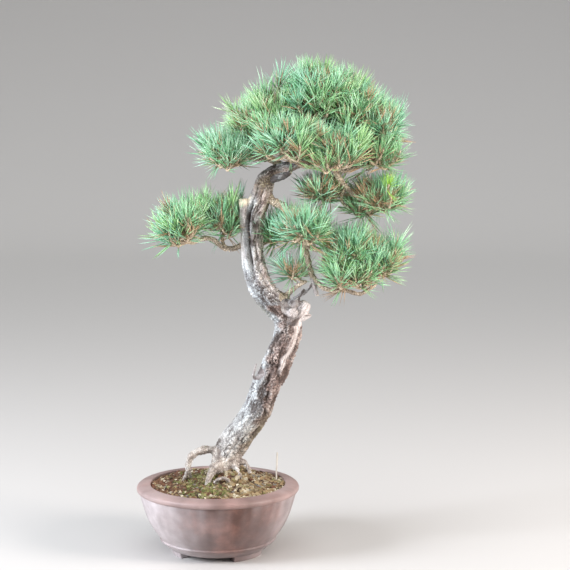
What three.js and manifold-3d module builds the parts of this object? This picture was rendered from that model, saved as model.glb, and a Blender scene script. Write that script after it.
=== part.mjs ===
// Scots pine bonsai in a round clay pot, in millimetres, +Z up.
// Everything is modelled round the pot's own axis, with the standing surface at z = 0. At the end
// it is moved as a whole, so that the origin lies under the middle of the outline.
import * as THREE from "three";
import { mergeVertices } from "three/addons/utils/BufferGeometryUtils.js";
import Module from "manifold-3d";

const wasm = await Module();
wasm.setup();

// Pot
const RIM_RADIUS = 130; // the pot is 260 mm across
const RIM_HEIGHT = 112.3;
const FLOOR_TOP = 19.5;
const DRAIN_RADIUS = 12;
const UNDERSIDE = 9; // the feet's height
const FOOT_RADII = [57, 74]; // inner and outer, where the feet stand
const FOOT_GAP_DEG = 72; // open arc between two of the three feet
const FIRST_GAP_DEG = -104; // the front opening points a little left of the viewer, who is at -Y
const POT_SEGMENTS = 32;

// Fit between neighbours
const GAP = 0.3;
const CLEARANCE = 0.3; // least distance that twigs and needles keep from everything else

// Soil
const MOUND_CENTRE = new THREE.Vector2(16, 12);
const MOUND_HEIGHT = 25;
const MOUND_WIDTH = 46;
const SOIL_EDGE_HEIGHT = 108.5;
const GRAIN_RELIEF = 3.2; // from the lowest to the highest point of the relief

// Drain mesh
const MESH_RADIUS = 20;
const MESH_THICKNESS = 1.2;
const MESH_PITCH = 10;
const MESH_HOLE = 6.5;

// Needles: a pair is 30 to 40 mm long on this species when it is kept small
const NEEDLE_LENGTH = [30, 40];
const NEEDLE_RADIUS = 0.9;
const NEEDLES_PER_SHOOT = 6;
const LEAFY_LENGTH = 30; // how far back from a shoot's tip its needles go
const LEADER_RADII = [2.8, 2.4];
const SHOOT_RADII = [1.5, 2.5];
const SHOOT_FACING = [0.2, -0.3, 1]; // the side to which a shoot's section turns an edge
const SHOOT_SHARE = 2; // one shoot in this many is made
const GOLDEN = Math.PI * (3 - Math.sqrt(5));

// How far the middle of the outline lies to the right of the pot's axis
const OUTLINE_MIDDLE_X = 91;

const bark = new THREE.MeshStandardMaterial({ color: 0x8d8178, roughness: 0.9 });
const foliage = new THREE.MeshStandardMaterial({ color: 0x6f9a68, roughness: 0.55 });
const clay = new THREE.MeshStandardMaterial({ color: 0xa98a85, roughness: 0.7 });
const earth = new THREE.MeshStandardMaterial({ color: 0x85755e, roughness: 0.95 });
const plastic = new THREE.MeshStandardMaterial({ color: 0x26282a, roughness: 0.6 });
const paleStick = new THREE.MeshStandardMaterial({ color: 0xcfc6b8, roughness: 0.8 });

// A number from 0 to 1 that is always the same for the same pair.
function draw(i, k) {
  const s = Math.sin(i * 12.9898 + k * 78.233) * 43758.5453;
  return s - Math.floor(s);
}

const v = (p) => new THREE.Vector3(p[0], p[1], p[2]);

// A closed geometry as a solid, with shared corners merged and collapsed triangles dropped.
function solidOf(geometry) {
  const loose = geometry.index ? geometry.toNonIndexed() : geometry;
  const plain = new THREE.BufferGeometry();
  plain.setAttribute("position", loose.getAttribute("position"));
  const merged = mergeVertices(plain, 1e-4);
  const kept = [];
  for (let i = 0; i < merged.index.count; i += 3) {
    const [a, b, c] = [0, 1, 2].map((n) => merged.index.getX(i + n));
    if (a !== b && b !== c && a !== c) kept.push(a, b, c);
  }
  return new wasm.Manifold(
    new wasm.Mesh({
      numProp: 3,
      vertProperties: new Float32Array(merged.attributes.position.array),
      triVerts: new Uint32Array(kept),
    }),
  );
}

// All of the solids as one, without any loose scrap.
function joined(solids) {
  const whole = wasm.Manifold.union(solids);
  const bodies = whole.decompose().sort((a, b) => b.volume() - a.volume());
  return bodies[0];
}

const tree = new THREE.Group();

function addMesh(name, solid, material) {
  const made = solid.getMesh();
  const geometry = new THREE.BufferGeometry();
  geometry.setAttribute("position", new THREE.BufferAttribute(made.vertProperties, 3));
  geometry.setIndex(new THREE.BufferAttribute(made.triVerts, 1));
  geometry.computeVertexNormals();
  const mesh = new THREE.Mesh(geometry, material);
  mesh.name = name;
  tree.add(mesh);
}

// The two directions across a stretch of wood: its front, which is turned to "facing", and its side.
function across(along, facing) {
  const front = facing.clone().addScaledVector(along, -facing.dot(along)).normalize();
  return { front, side: along.clone().cross(front) };
}

// Grown wood: a tube whose thickness changes along a smooth curve through the given points.
// A point is [x, y, z, radius].
function grownTube(points, options = {}) {
  const { sides = 6, steps = points.length + 1, grow = 0, facing = [0, -1, 0], shape = () => 1 } = options;
  const curve = new THREE.CatmullRomCurve3(points.map(v));
  const rings = [];
  let front = v(facing);
  for (let i = 0; i <= steps; i++) {
    const t = curve.getUtoTmapping(i / steps);
    const at = Math.min(t * (points.length - 1), points.length - 1.0001);
    const [before, after] = [0, 1].map((n) => points[Math.floor(at) + n][3]);
    const ring = { along: curve.getTangent(t), radius: THREE.MathUtils.lerp(before, after, at % 1) };
    Object.assign(ring, across(ring.along, front));
    front = ring.front;
    const end = i === 0 ? -grow : i === steps ? grow : 0;
    ring.centre = curve.getPoint(t).addScaledVector(ring.along, end);
    rings.push(ring);
  }
  const geometry = new THREE.CylinderGeometry(1, 1, 1, sides, steps);
  const place = geometry.getAttribute("position");
  for (let i = 0; i < place.count; i++) {
    const [x, z] = [place.getX(i), place.getZ(i)];
    const u = place.getY(i) + 0.5;
    const ring = rings[Math.round(u * steps)];
    const radius = (ring.radius + grow) * shape(Math.atan2(x, z), u);
    const point = ring.centre.clone().addScaledVector(ring.side, x * radius);
    point.addScaledVector(ring.front, z * radius);
    place.setXYZ(i, point.x, point.y, point.z);
  }
  return geometry;
}

// What twigs and needles keep clear of: straight stretches, each with a radius. Those of a spray
// also say which spray and which of its shoots they belong to.
const taken = [];

function take(from, to, radius, spray, shoot) {
  const middle = from.clone().add(to).multiplyScalar(0.5);
  taken.push({ from, to, radius, spray, shoot, middle, half: from.distanceTo(to) / 2 });
}

function takeTube(points, steps, swell = 1) {
  const curve = new THREE.CatmullRomCurve3(points.map(v));
  for (let i = 0; i < steps; i++) {
    const first = Math.floor((i / steps) * (points.length - 1));
    const last = Math.ceil(((i + 1) / steps) * (points.length - 1));
    const thickest = Math.max(...points.slice(first, last + 1).map((p) => p[3]));
    take(curve.getPoint(i / steps), curve.getPoint((i + 1) / steps), thickest * swell);
  }
}

// The shortest distance between two straight stretches.
function distance(a, b, c, d) {
  const ab = b.clone().sub(a);
  const cd = d.clone().sub(c);
  const ca = a.clone().sub(c);
  const [aa, cc, ac] = [ab.dot(ab), cd.dot(cd), ab.dot(cd)];
  const [fa, fc] = [ab.dot(ca), cd.dot(ca)];
  const apart = aa * cc - ac * ac;
  let s = apart > 1e-9 ? THREE.MathUtils.clamp((ac * fc - fa * cc) / apart, 0, 1) : 0;
  let t = (ac * s + fc) / cc;
  if (t < 0 || t > 1) {
    t = THREE.MathUtils.clamp(t, 0, 1);
    s = THREE.MathUtils.clamp((ac * t - fa) / aa, 0, 1);
  }
  return a.clone().addScaledVector(ab, s).distanceTo(c.clone().addScaledVector(cd, t));
}

// Whether a stretch keeps clear of all others, apart from those that it may grow from or cross.
function isClear(from, to, radius, mayTouch) {
  const middle = from.clone().add(to).multiplyScalar(0.5);
  const reach = from.distanceTo(to) / 2 + radius + CLEARANCE;
  return taken.every((other) => {
    if (mayTouch(other)) return true;
    if (middle.distanceTo(other.middle) > reach + other.half + other.radius) return true;
    return distance(from, to, other.from, other.to) > radius + other.radius + CLEARANCE;
  });
}

// Pot: thrown body with an inward lip, a grooved edge, a raised base band and three cut feet.
function makePot() {
  const section = [
    [DRAIN_RADIUS, UNDERSIDE], [77, UNDERSIDE], [86, 15.5], [93.8, 23], [92.4, 25.2],
    [101.4, 37], [110.6, 52.5], [117.6, 70], [125.4, 97], [125, 99.4],
    [128.6, 100.4], [RIM_RADIUS, 105], [127.2, 109.4], [108.6, RIM_HEIGHT],
    [107.8, 108], [112.6, 101], [112.2, 89], [90, 38], [72, FLOOR_TOP],
    [DRAIN_RADIUS, FLOOR_TOP], [DRAIN_RADIUS, UNDERSIDE],
  ].map(([r, z]) => new THREE.Vector2(r, z));
  const body = new THREE.LatheGeometry(section, POT_SEGMENTS).rotateX(Math.PI / 2);
  const [inner, outer] = FOOT_RADII;
  const sunk = UNDERSIDE + 2;
  const footSection = [
    [inner, 0], [outer, 0], [outer + 2.2, sunk], [inner + 2, sunk], [inner, 0],
  ].map(([r, z]) => new THREE.Vector2(r, z));
  const ring = new THREE.LatheGeometry(footSection, POT_SEGMENTS).rotateX(Math.PI / 2);
  let feet = solidOf(ring);
  for (let gap = 0; gap < 3; gap++) {
    const edges = [-0.5, 0, 0.5].map((share) => {
      const angle = THREE.MathUtils.degToRad(FIRST_GAP_DEG + gap * 120 + share * FOOT_GAP_DEG);
      return new THREE.Vector2(Math.cos(angle), Math.sin(angle)).multiplyScalar(RIM_RADIUS);
    });
    const wedge = new THREE.Shape([new THREE.Vector2(), ...edges]);
    const cut = new THREE.ExtrudeGeometry(wedge, { depth: 40, bevelEnabled: false });
    feet = feet.subtract(solidOf(cut.translate(0, 0, -20)));
  }
  return wasm.Manifold.union([solidOf(body), ...feet.decompose()]);
}

// Drain mesh: a plastic disc with square holes, which keeps the soil out of the drain.
function makeDrainMesh() {
  const low = FLOOR_TOP + GAP;
  const disc = new THREE.CylinderGeometry(MESH_RADIUS, MESH_RADIUS, MESH_THICKNESS, 16);
  disc.rotateX(Math.PI / 2).translate(0, 0, low + MESH_THICKNESS / 2);
  let mesh = solidOf(disc);
  for (const [i, j] of [-0.5, 0.5].flatMap((a) => [-0.5, 0.5].map((b) => [a, b]))) {
    const hole = new THREE.BoxGeometry(MESH_HOLE, MESH_HOLE, 10);
    mesh = mesh.subtract(solidOf(hole.translate(i * MESH_PITCH, j * MESH_PITCH, low)));
  }
  return mesh;
}

// The soil's height above the standing surface.
function soilHeight(x, y) {
  const fromMound = Math.hypot(x - MOUND_CENTRE.x, y - MOUND_CENTRE.y) / MOUND_WIDTH;
  const edge = THREE.MathUtils.smoothstep(Math.hypot(x, y), 80, 107);
  const mound = MOUND_HEIGHT * Math.exp(-fromMound * fromMound);
  return SOIL_EDGE_HEIGHT + 3 * (1 - edge) + mound * (1 - edge);
}

// Soil: fills the pot, is heaped round the trunk and has a grainy top, raised by a formula.
function makeSoil(cutters) {
  const radii = [0, 21, 42, 63, 84, 106.8];
  const section = [
    [0, FLOOR_TOP + GAP], [71.5, FLOOR_TOP + GAP], [89.5, 38.2], [111.7, 89],
    [112, 100.8], [107.3, 107],
    ...radii.toReversed().map((r) => [r, SOIL_EDGE_HEIGHT]),
  ].map(([r, z]) => new THREE.Vector2(r, z));
  const geometry = new THREE.LatheGeometry(section, POT_SEGMENTS).rotateX(Math.PI / 2);
  const place = geometry.getAttribute("position");
  for (let i = 0; i < place.count; i++) {
    const [x, y] = [place.getX(i), place.getY(i)];
    if (place.getZ(i) < SOIL_EDGE_HEIGHT - 0.01) continue;
    const away = Math.hypot(x, y);
    const ring = Math.round(away / 21);
    const slice = Math.round((Math.atan2(y, x) / (2 * Math.PI)) * POT_SEGMENTS + POT_SEGMENTS);
    const bump = draw(ring, slice % POT_SEGMENTS) - 0.5;
    const fine = away > 105 || away < 1 ? 0 : GRAIN_RELIEF * bump;
    place.setZ(i, soilHeight(x, y) + fine);
  }
  const cut = cutters.reduce((soil, cutter) => soil.subtract(cutter), solidOf(geometry));
  return cut.decompose().sort((a, b) => b.volume() - a.volume())[0];
}

// Trunk: from the root base up to the leader inside the crown.
const TRUNK = [
  [13, 18, 74, 15], [12, 18, 96, 20], [12, 18, 114, 24.5], [12.5, 18, 138, 24],
  [16, 17, 158, 23.5], [31, 15, 181, 23.5], [47.5, 13, 204, 22.8], [63, 11, 227, 22.5],
  [72, 9, 251, 22], [80, 7, 274, 21.5], [91.5, 5, 297, 21.5], [99.5, 3, 320, 21.5],
  [109, 1, 342, 21.5], [113, 0, 364, 21.5], [109, 0, 383, 22], [98, 1, 396, 22],
  [82.5, 2, 409, 21], [70, 4, 429, 19.5], [62, 6, 450, 18], [57.5, 8, 471, 17],
  [55, 9, 492, 17], [55, 10, 517, 17.5], [58, 10, 541, 17.5], [66, 9, 562, 17.5],
  [72, 8, 580, 16.5], [77, 6, 595, 14.5], [88, 3, 607, 11.5], [106, 0, 615, 9.5],
  [122, -4, 620, 7.5], [138, -6, 628, 6.5], [151, -5, 652, 5.5], [152, -2, 672, 4.4],
  [150, 1, 690, 3.6],
];

// The bark's coarse ridges wind round the trunk, and a deep groove splits its upper half in front.
function trunkShape(around, u) {
  const ridges = 1 + 0.07 * Math.sin(5 * around + 16 * u) + 0.04 * Math.sin(2 * around - 23 * u);
  const inGroove = THREE.MathUtils.smoothstep(u, 0.5, 0.58) * (1 - THREE.MathUtils.smoothstep(u, 0.7, 0.78));
  const fromGroove = (around + 0.15) / 0.34;
  return ridges * (1 - 0.42 * inGroove * Math.exp(-fromGroove * fromGroove));
}

// Roots: the first arches clear of the soil on the left, and the others grip the mound.
const ROOTS = [
  [[8, 20, 152, 9], [-10, 16, 161, 7], [-27, 12, 161, 6.2], [-41, 7, 154, 5.6], [-47, 3, 143.5, 5],
    [-48, 0, 130, 4.6]],
  [[-48, 0, 133, 4], [-52, -2, 122, 3], [-56, -4, 112, 2.6], [-60, -5, 98, 2.2]],
  [[-47.5, 0, 132, 3.4], [-44.5, 2, 124, 2.4], [-43, 1, 114, 2.4], [-41, 0, 98, 2.2]],
  [[8, 6, 146, 13], [0, -8, 141, 9.5], [-11, -25, 131, 6.2], [-14, -35, 118, 5], [-14, -39, 98, 4]],
  [[14, 2, 132, 10], [4, -10, 124, 7], [-2, -18, 112, 5], [-4, -22, 96, 4]],
  [[24, 18, 140, 9], [34, 12, 144, 4.8], [45, 8, 140.5, 3.6], [49.5, 4, 131, 3], [51, 4, 118, 2.8],
    [51, 4, 100, 2.4]],
  [[22, 4, 138, 6], [29.5, -6, 135.5, 3.4], [34, -13, 129, 2.8], [38, -20, 121, 2.6], [41, -24, 104, 2.2]],
  [[6, 34, 132, 9], [-4, 48, 122, 5.5], [-14, 60, 110, 4.2], [-20, 66, 96, 3.4]],
  [[26, 32, 132, 9], [40, 46, 122, 5], [52, 56, 110, 4], [58, 60, 96, 3.2]],
  [[-6, -30, 112, 3], [-1, -38, 123, 2.8], [9, -40, 128, 2.8], [18.7, -38, 122, 2.6], [22, -34, 104, 2.4]],
];

// Dead wood: the broken stump, spike and knob at the bend, the bare strand beside the upper trunk
// with its cut end, short stubs, and a thin twig that links the trunk to the lowest branch.
const DEAD_WOOD = {
  stump: [[108, -2, 362, 16], [120, -3, 381, 14.5], [131, -3, 392, 12.5], [139, -3, 400, 10]],
  spike: [[134, -6, 378, 4.4], [144, -8, 381, 3], [152, -8, 383, 1.4]],
  knob: [[116, -12, 386, 7], [119, -19, 388, 6.6], [120, -24, 389.5, 5]],
  bare_strand: [[50, 7, 506, 9.5], [44, 5, 530, 8.4], [42, 4, 550, 7.4], [40, 3, 566, 6]],
  lower_left_stub: [[72, 2, 276, 4.5], [57, -2, 284, 2.6], [59, -4, 294, 2], [62, -5, 306, 1.5]],
  upper_stub: [[80, 2, 600, 5], [96, -5, 603, 4], [108, -9, 605, 3]],
  left_stub: [[28, 18, 489, 3.6], [18, 16, 483, 3.2]],
  link: [[100, 0, 402, 3.6], [114, -1, 420, 2.4], [128, -6, 430, 2.4], [142, -11, 438, 3]],
  low_stub: [[150, -11, 444, 4.6], [154.8, -10, 427, 4.2], [158, -10, 414, 3.2]],
  hollow_stub: [[178, -16, 486, 3.4], [169, -17, 488, 4.6], [167.5, -20, 480, 5.6], [165.5, -21, 471, 4]],
};

// Live branches. Each ends where the stem of the spray with the same name begins.
const BRANCHES = {
  crown_left_low: [[108, 0, 616, 6], [88, 8, 627, 5], [56, 11, 630, 4.2], [30, 5, 633, 3.4]],
  crown_left_high: [[66, 11, 630, 4], [70, 8, 648, 3.4], [72, 6, 664, 2.8]],
  crown_left_back: [[88, 8, 627, 4.2], [80, 32, 634, 3.6], [73, 50, 641, 2.8]],
  crown_front: [[132, -6, 625, 5], [124, -26, 630, 3.8], [117, -38, 636, 2.9]],
  crown_right_low: [[126, -5, 622, 6], [165, -10, 617, 5], [200, -12, 612, 4.2], [230, -10, 620, 3]],
  crown_front_right: [[168, -10, 617, 4.4], [178, -28, 619, 3.6], [185, -38, 624, 2.8]],
  crown_right: [[200, -12, 612, 4.2], [216, 4, 626, 3.6], [234, 14, 644, 3], [242, 12, 654, 2.6]],
  crown_right_high: [[151, -3, 662, 4.2], [174, 0, 672, 3.6], [195, 0, 676, 2.8]],
  crown_back: [[151, -4, 650, 4.4], [152, 28, 658, 3.6], [151, 46, 663, 2.8]],
  crown_back_right: [[168, -10, 617, 4.4], [190, 26, 630, 3.6], [211, 46, 640, 2.8]],
  shelf_right: [[186, -12, 610, 5], [196, -9, 594, 4.4], [209, -7, 579, 4], [225, -4, 567, 3.4],
    [241, 0, 559, 2.8]],
  shelf_middle: [[204, -7, 584, 3.8], [196, 4, 576, 3], [184, 10, 571, 2.6]],
  shelf_low: [[203, -7, 585, 3.4], [196, 0, 570, 3], [200, 4, 558, 2.8], [214, 8, 549, 2.6]],
  left_tip: [[52, 12, 503, 6], [40, 18, 493, 4.6], [24, 17, 487, 4], [8, 14, 489, 3.8], [-4, 11, 500, 3.6],
    [-18, 9, 504, 3.4], [-34, 6, 498, 3]],
  left_inner: [[14, 15, 487, 3.6], [8, 19, 498, 3], [9, 20, 508, 2.5]],
  middle_front: [[112, -4, 548, 4.4], [124, -15, 530, 3.4], [132, -22, 513, 2.8]],
  middle_back: [[104, 0, 552, 4.4], [118, 14, 530, 3.4], [126, 22, 510, 2.7]],
  middle_inner: [[58, 12, 490, 5], [74, 24, 494, 3.4], [82, 28, 498, 2.6]],
  low_upper: [[135, -12, 496, 5], [159, -15, 488, 4], [181, -16, 483, 3.4], [196, -14, 478, 2.8]],
  low_tip: [[76, 8, 570, 9], [90, 3, 562, 7], [109, -4, 552, 6], [121, -8, 541, 5.6], [131, -11, 520, 5.4],
    [136, -12, 497, 5], [143, -12, 474, 4.8], [150, -11, 448, 4.8], [164, -10, 430, 4],
    [180, -10, 423, 3.8], [204, -8, 422, 3.5], [226, -8, 417, 3.2], [244, -6, 427, 2.8]],
  low_bottom: [[182, -10, 424, 3.6], [190, -14, 429, 3], [196, -16, 433, 2.5]],
  low_inner: [[138, -9, 436, 2.6], [132, -12, 439, 2.4], [128, -13, 441, 2.3]],
};

// Sprays: a dome of shoots, with its middle, its half sizes and how many shoots a full one has.
const SPRAYS = {
  crown_apex: { middle: [156, 0, 722], half: [58, 56, 46], shoots: 24 },
  crown_left_high: { middle: [73, 4, 690], half: [48, 48, 39], shoots: 16 },
  crown_left_low: { middle: [15, 0, 645], half: [38, 42, 19], shoots: 10 },
  crown_left_back: { middle: [66, 62, 658], half: [44, 36, 28], shoots: 10 },
  crown_front: { middle: [113, -50, 654], half: [48, 34, 31], shoots: 13 },
  crown_front_right: { middle: [187, -50, 640], half: [42, 34, 27], shoots: 11 },
  crown_right_high: { middle: [216, 0, 700], half: [48, 50, 41], shoots: 16 },
  crown_right: { middle: [258, 0, 672], half: [28, 44, 29], shoots: 10 },
  crown_right_low: { middle: [245, -14, 636], half: [36, 44, 20], shoots: 9 },
  crown_back: { middle: [150, 62, 678], half: [58, 42, 36], shoots: 14 },
  crown_back_right: { middle: [222, 60, 658], half: [44, 36, 28], shoots: 10 },
  shelf_right: { middle: [257, 4, 569], half: [34, 40, 15], shoots: 9 },
  shelf_middle: { middle: [164, 10, 575], half: [32, 30, 9], shoots: 6 },
  shelf_low: { middle: [232, 10, 553], half: [28, 28, 8], shoots: 5 },
  left_tip: { middle: [-56, 4, 519], half: [38, 40, 36], shoots: 14 },
  left_inner: { middle: [12, 22, 528], half: [30, 32, 29], shoots: 10 },
  middle_front: { middle: [138, -30, 518], half: [38, 28, 15], shoots: 8 },
  middle_back: { middle: [132, 32, 514], half: [34, 26, 14], shoots: 5 },
  middle_inner: { middle: [90, 32, 506], half: [18, 20, 15], shoots: 3 },
  low_upper: { middle: [208, -10, 491], half: [46, 42, 22], shoots: 13 },
  low_tip: { middle: [260, -4, 464], half: [30, 38, 28], shoots: 10 },
  low_bottom: { middle: [206, -16, 446], half: [44, 40, 18], shoots: 9 },
  low_inner: { middle: [125, -8, 441], half: [13, 16, 9], shoots: 3 },
};

// A branch's end and direction, where a spray's stem carries on.
function branchEnd(name) {
  const points = name === "crown_apex" ? TRUNK : BRANCHES[name];
  const curve = new THREE.CatmullRomCurve3(points.map(v));
  return { at: curve.getPoint(1), along: curve.getTangent(1), radius: points.at(-1)[3] };
}

function makeWood(grow) {
  const trunk = grownTube(TRUNK, { sides: 11, steps: 37, grow, shape: trunkShape });
  const roots = ROOTS.map((points) => grownTube(points, { sides: 5, steps: 4, grow }));
  const dead = Object.values(DEAD_WOOD).map((points) => grownTube(points, { sides: 6, steps: points.length - 1, grow }));
  const branches = Object.values(BRANCHES).map((points) =>
    grownTube(points, { sides: 4, steps: points.length - 1, grow, facing: [0.1, -0.2, 1] }),
  );
  return joined([trunk, ...roots, ...dead, ...branches].map(solidOf));
}

// A spray's wood: a stem carries on from the branch to the foot of the dome, a leader rises to
// its top, and the other shoots leave the leader for their places on the dome.
function planSpray(name, number) {
  const { middle, half, shoots } = SPRAYS[name];
  const [centre, size] = [v(middle), v(half)];
  const { at, along, radius } = branchEnd(name);
  const start = at.clone().addScaledVector(along, GAP);
  const hub = centre.clone().add(new THREE.Vector3(0, 0, -0.55 * size.z));
  const bend = start.clone().addScaledVector(along, start.distanceTo(hub) / 3);
  take(start, hub, radius, name);
  const spray = { name, stem: [start, bend, hub], radius, shoots: [] };
  for (let i = 0; i < shoots; i += SHOOT_SHARE) {
    const base = hub.clone();
    if (i > 0) base.lerp(spray.shoots[0].tip, 0.8 * (1 - i / shoots));
    for (let attempt = 0; attempt < 12; attempt++) {
      const turn = i * GOLDEN + number + 0.4 * attempt;
      const height = 1 - ((i + 0.5) / shoots) * 1.2;
      const wide = Math.sqrt(1 - height * height);
      const out = new THREE.Vector3(wide * Math.cos(turn), wide * Math.sin(turn), height);
      out.multiply(size).multiplyScalar(0.82 + 0.18 * draw(i, number));
      const tip = out.add(centre);
      const mayTouch = (other) => i === 0 || other.spray === name;
      if (!isClear(base, tip, SHOOT_RADII[1], mayTouch)) continue;
      take(base, tip, i === 0 ? LEADER_RADII[0] : SHOOT_RADII[1], name, i);
      spray.shoots.push({ base, tip, index: i });
      break;
    }
  }
  return spray;
}

// A needle stands off its shoot by an angle that closes towards the tip. Needles leave by the
// middles of the shoot's three faces in turn.
function needleFrom(shoot, k, attempt) {
  const along = shoot.tip.clone().sub(shoot.base).normalize();
  const share = (k + 0.6) / NEEDLES_PER_SHOOT;
  const root = shoot.tip.clone().addScaledVector(along, -(1 - share) * LEAFY_LENGTH);
  const seed = shoot.index * 7 + k;
  const { front, side } = across(along, v(SHOOT_FACING));
  const turn = THREE.MathUtils.degToRad(60 + 120 * (k + attempt) + 50 * (draw(seed, attempt) - 0.5));
  const lean = THREE.MathUtils.degToRad(66 - 44 * share + 12 * (draw(seed, attempt + 40) - 0.5));
  const outwards = front.multiplyScalar(Math.cos(turn)).addScaledVector(side, Math.sin(turn));
  const direction = along.multiplyScalar(Math.cos(lean)).addScaledVector(outwards, Math.sin(lean));
  const length = THREE.MathUtils.lerp(...NEEDLE_LENGTH, draw(seed, 3));
  return { root, direction, length };
}

function needleSolid({ root, direction, length }) {
  const cone = new THREE.ConeGeometry(NEEDLE_RADIUS, length, 3, 1);
  cone.translate(0, length / 2, 0);
  cone.applyQuaternion(new THREE.Quaternion().setFromUnitVectors(new THREE.Vector3(0, 1, 0), direction));
  return solidOf(cone.translate(root.x, root.y, root.z));
}

// A spray in one piece: stem, shoots and needles. A needle that would cross another turns aside.
function makeSpray({ name, stem, radius, shoots }) {
  const listed = (points, radii) => points.map((p, i) => [p.x, p.y, p.z, radii[i]]);
  const stemRadii = [radius * 0.9, radius * 0.88, LEADER_RADII[0]];
  const facing = SHOOT_FACING;
  const solids = [solidOf(grownTube(listed(stem, stemRadii), { sides: 4, steps: 1, facing }))];
  for (const shoot of shoots) {
    const radii = shoot.index === 0 ? LEADER_RADII : SHOOT_RADII;
    const points = listed([shoot.base, shoot.tip], radii);
    solids.push(solidOf(grownTube(points, { sides: 3, steps: 1, facing })));
    const mayTouch = (other) => other.spray === name && other.shoot === shoot.index;
    for (let k = 0; k < NEEDLES_PER_SHOOT; k++) {
      for (let attempt = 0; attempt < 15; attempt++) {
        const needle = needleFrom(shoot, k, attempt);
        const from = needle.root.clone().addScaledVector(needle.direction, 3);
        const to = needle.root.clone().addScaledVector(needle.direction, needle.length);
        if (!isClear(from, to, NEEDLE_RADIUS, mayTouch)) continue;
        take(from, to, NEEDLE_RADIUS);
        solids.push(needleSolid(needle));
        break;
      }
    }
  }
  return joined(solids);
}

// Stake: a thin pale stick pushed into the soil near the rim.
const STAKE = [
  [94, 20, 72, 1.1], [94, 20, 104, 1.2], [93.5, 20, 124, 1.2], [94.5, 20, 140, 1.6], [95, 20, 156, 1.3],
];
const makeStake = (grow) => solidOf(grownTube(STAKE, { sides: 6, steps: 6, grow }));

const wood = makeWood(0);
const meshRoom = new THREE.CylinderGeometry(MESH_RADIUS + 2 * GAP, MESH_RADIUS + 2 * GAP, 10, 16);
meshRoom.rotateX(Math.PI / 2).translate(0, 0, FLOOR_TOP + 2 * GAP + MESH_THICKNESS - 5);

addMesh("pot", makePot(), clay);
addMesh("drain_mesh", makeDrainMesh(), plastic);
addMesh("soil", makeSoil([makeWood(GAP), makeStake(GAP), solidOf(meshRoom)]), earth);
addMesh("trunk", wood, bark);
addMesh("stake", makeStake(0), paleStick);

takeTube(TRUNK, 60, 1.12);
[...ROOTS, ...Object.values(DEAD_WOOD), ...Object.values(BRANCHES)].forEach((points) => takeTube(points, 8));
const sprays = Object.keys(SPRAYS).map(planSpray);
sprays.forEach((spray) => addMesh(spray.name, makeSpray(spray), foliage));

tree.position.set(-OUTLINE_MIDDLE_X, 0, 0);

export default tree;
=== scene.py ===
# A scots pine bonsai in a round clay pot on three feet.
from math import atan2, cos, degrees, hypot, pi, radians, sin

import bpy
import numpy as np
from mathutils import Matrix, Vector, kdtree, noise


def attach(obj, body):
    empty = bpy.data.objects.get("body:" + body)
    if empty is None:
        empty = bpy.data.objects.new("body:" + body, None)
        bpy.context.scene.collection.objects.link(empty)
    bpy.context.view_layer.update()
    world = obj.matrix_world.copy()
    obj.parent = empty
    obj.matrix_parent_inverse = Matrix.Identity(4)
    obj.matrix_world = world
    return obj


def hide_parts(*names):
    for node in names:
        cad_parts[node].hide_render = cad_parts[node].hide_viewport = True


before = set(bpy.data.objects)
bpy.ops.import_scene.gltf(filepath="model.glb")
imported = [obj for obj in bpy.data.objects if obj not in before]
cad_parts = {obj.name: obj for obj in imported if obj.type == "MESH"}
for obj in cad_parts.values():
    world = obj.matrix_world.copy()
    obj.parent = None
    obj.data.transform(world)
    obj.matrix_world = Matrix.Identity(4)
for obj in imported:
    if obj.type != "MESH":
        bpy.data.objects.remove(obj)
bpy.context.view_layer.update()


# Studio: the camera stands level with the crown, 2.4 m in front, and looks a little down.
# A floor of painted board curves up into a wall. A large soft light stands on each side, and weak
# ones stand in front and overhead.
CAMERA_PLACE = (0.0165, -2.4, 0.6996)
LOOKS_DOWN_DEG = 6.4
FLOOR_SIZE = 14
WALL_CURVE = 2
CURVE_STEPS = 8
bpy.ops.object.select_all(action="DESELECT")
bpy.ops.object.camera_add(location=CAMERA_PLACE, rotation=(radians(90 - LOOKS_DOWN_DEG), 0, 0))
camera = bpy.context.object
camera.name = "camera"
camera.data.lens = 96.4
bpy.context.scene.camera = camera


def linear(code):
    """An sRGB hex colour as the linear values that Blender works in."""
    parts = [int(code[i:i + 2], 16) / 255 for i in (1, 3, 5)]
    return (*[c / 12.92 if c <= 0.04045 else ((c + 0.055) / 1.055) ** 2.4 for c in parts], 1)


def add_node(material, kind, inputs=(), stops=(), **settings):
    """Adds a node and gives its main output. Inputs stand in the node's own order or by name, and
    each is a value or another node's output to link. Stops fill a ramp. A Mix is one of colours,
    with its share as input 0 and the colours as 6 and 7."""
    made = material.node_tree.nodes.new("ShaderNode" + kind)
    if kind == "Mix":
        made.data_type = "RGBA"
    for name, value in settings.items():
        setattr(made, name, value)
    for n, (place, code) in enumerate(stops):
        if n > 1:
            made.color_ramp.elements.new(place)
        made.color_ramp.elements[n].position = place
        made.color_ramp.elements[n].color = linear(code)
    for name, value in (inputs if isinstance(inputs, dict) else dict(enumerate(inputs))).items():
        if isinstance(value, bpy.types.NodeSocket):
            material.node_tree.links.new(value, made.inputs[name])
        else:
            made.inputs[name].default_value = value
    return made.outputs[{"Attribute": "Fac", "Mix": 2, "TexCoord": "Object"}.get(kind, 0)]


def start_material(name, **finish):
    """A new material with its finish set on the shader, and its Object coordinates."""
    material = bpy.data.materials.new(name)
    material.use_nodes = True
    for socket, value in finish.items():
        material.node_tree.nodes["Principled BSDF"].inputs[socket.replace("_", " ")].default_value = value
    return material, add_node(material, "TexCoord")


def finish_material(material, colour, relief=None):
    """Links the colour, and the relief if there is one, to a material's shader."""
    shader = material.node_tree.nodes["Principled BSDF"]
    material.node_tree.links.new(colour, shader.inputs["Base Color"])
    if relief is not None:
        material.node_tree.links.new(relief, shader.inputs["Normal"])


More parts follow.
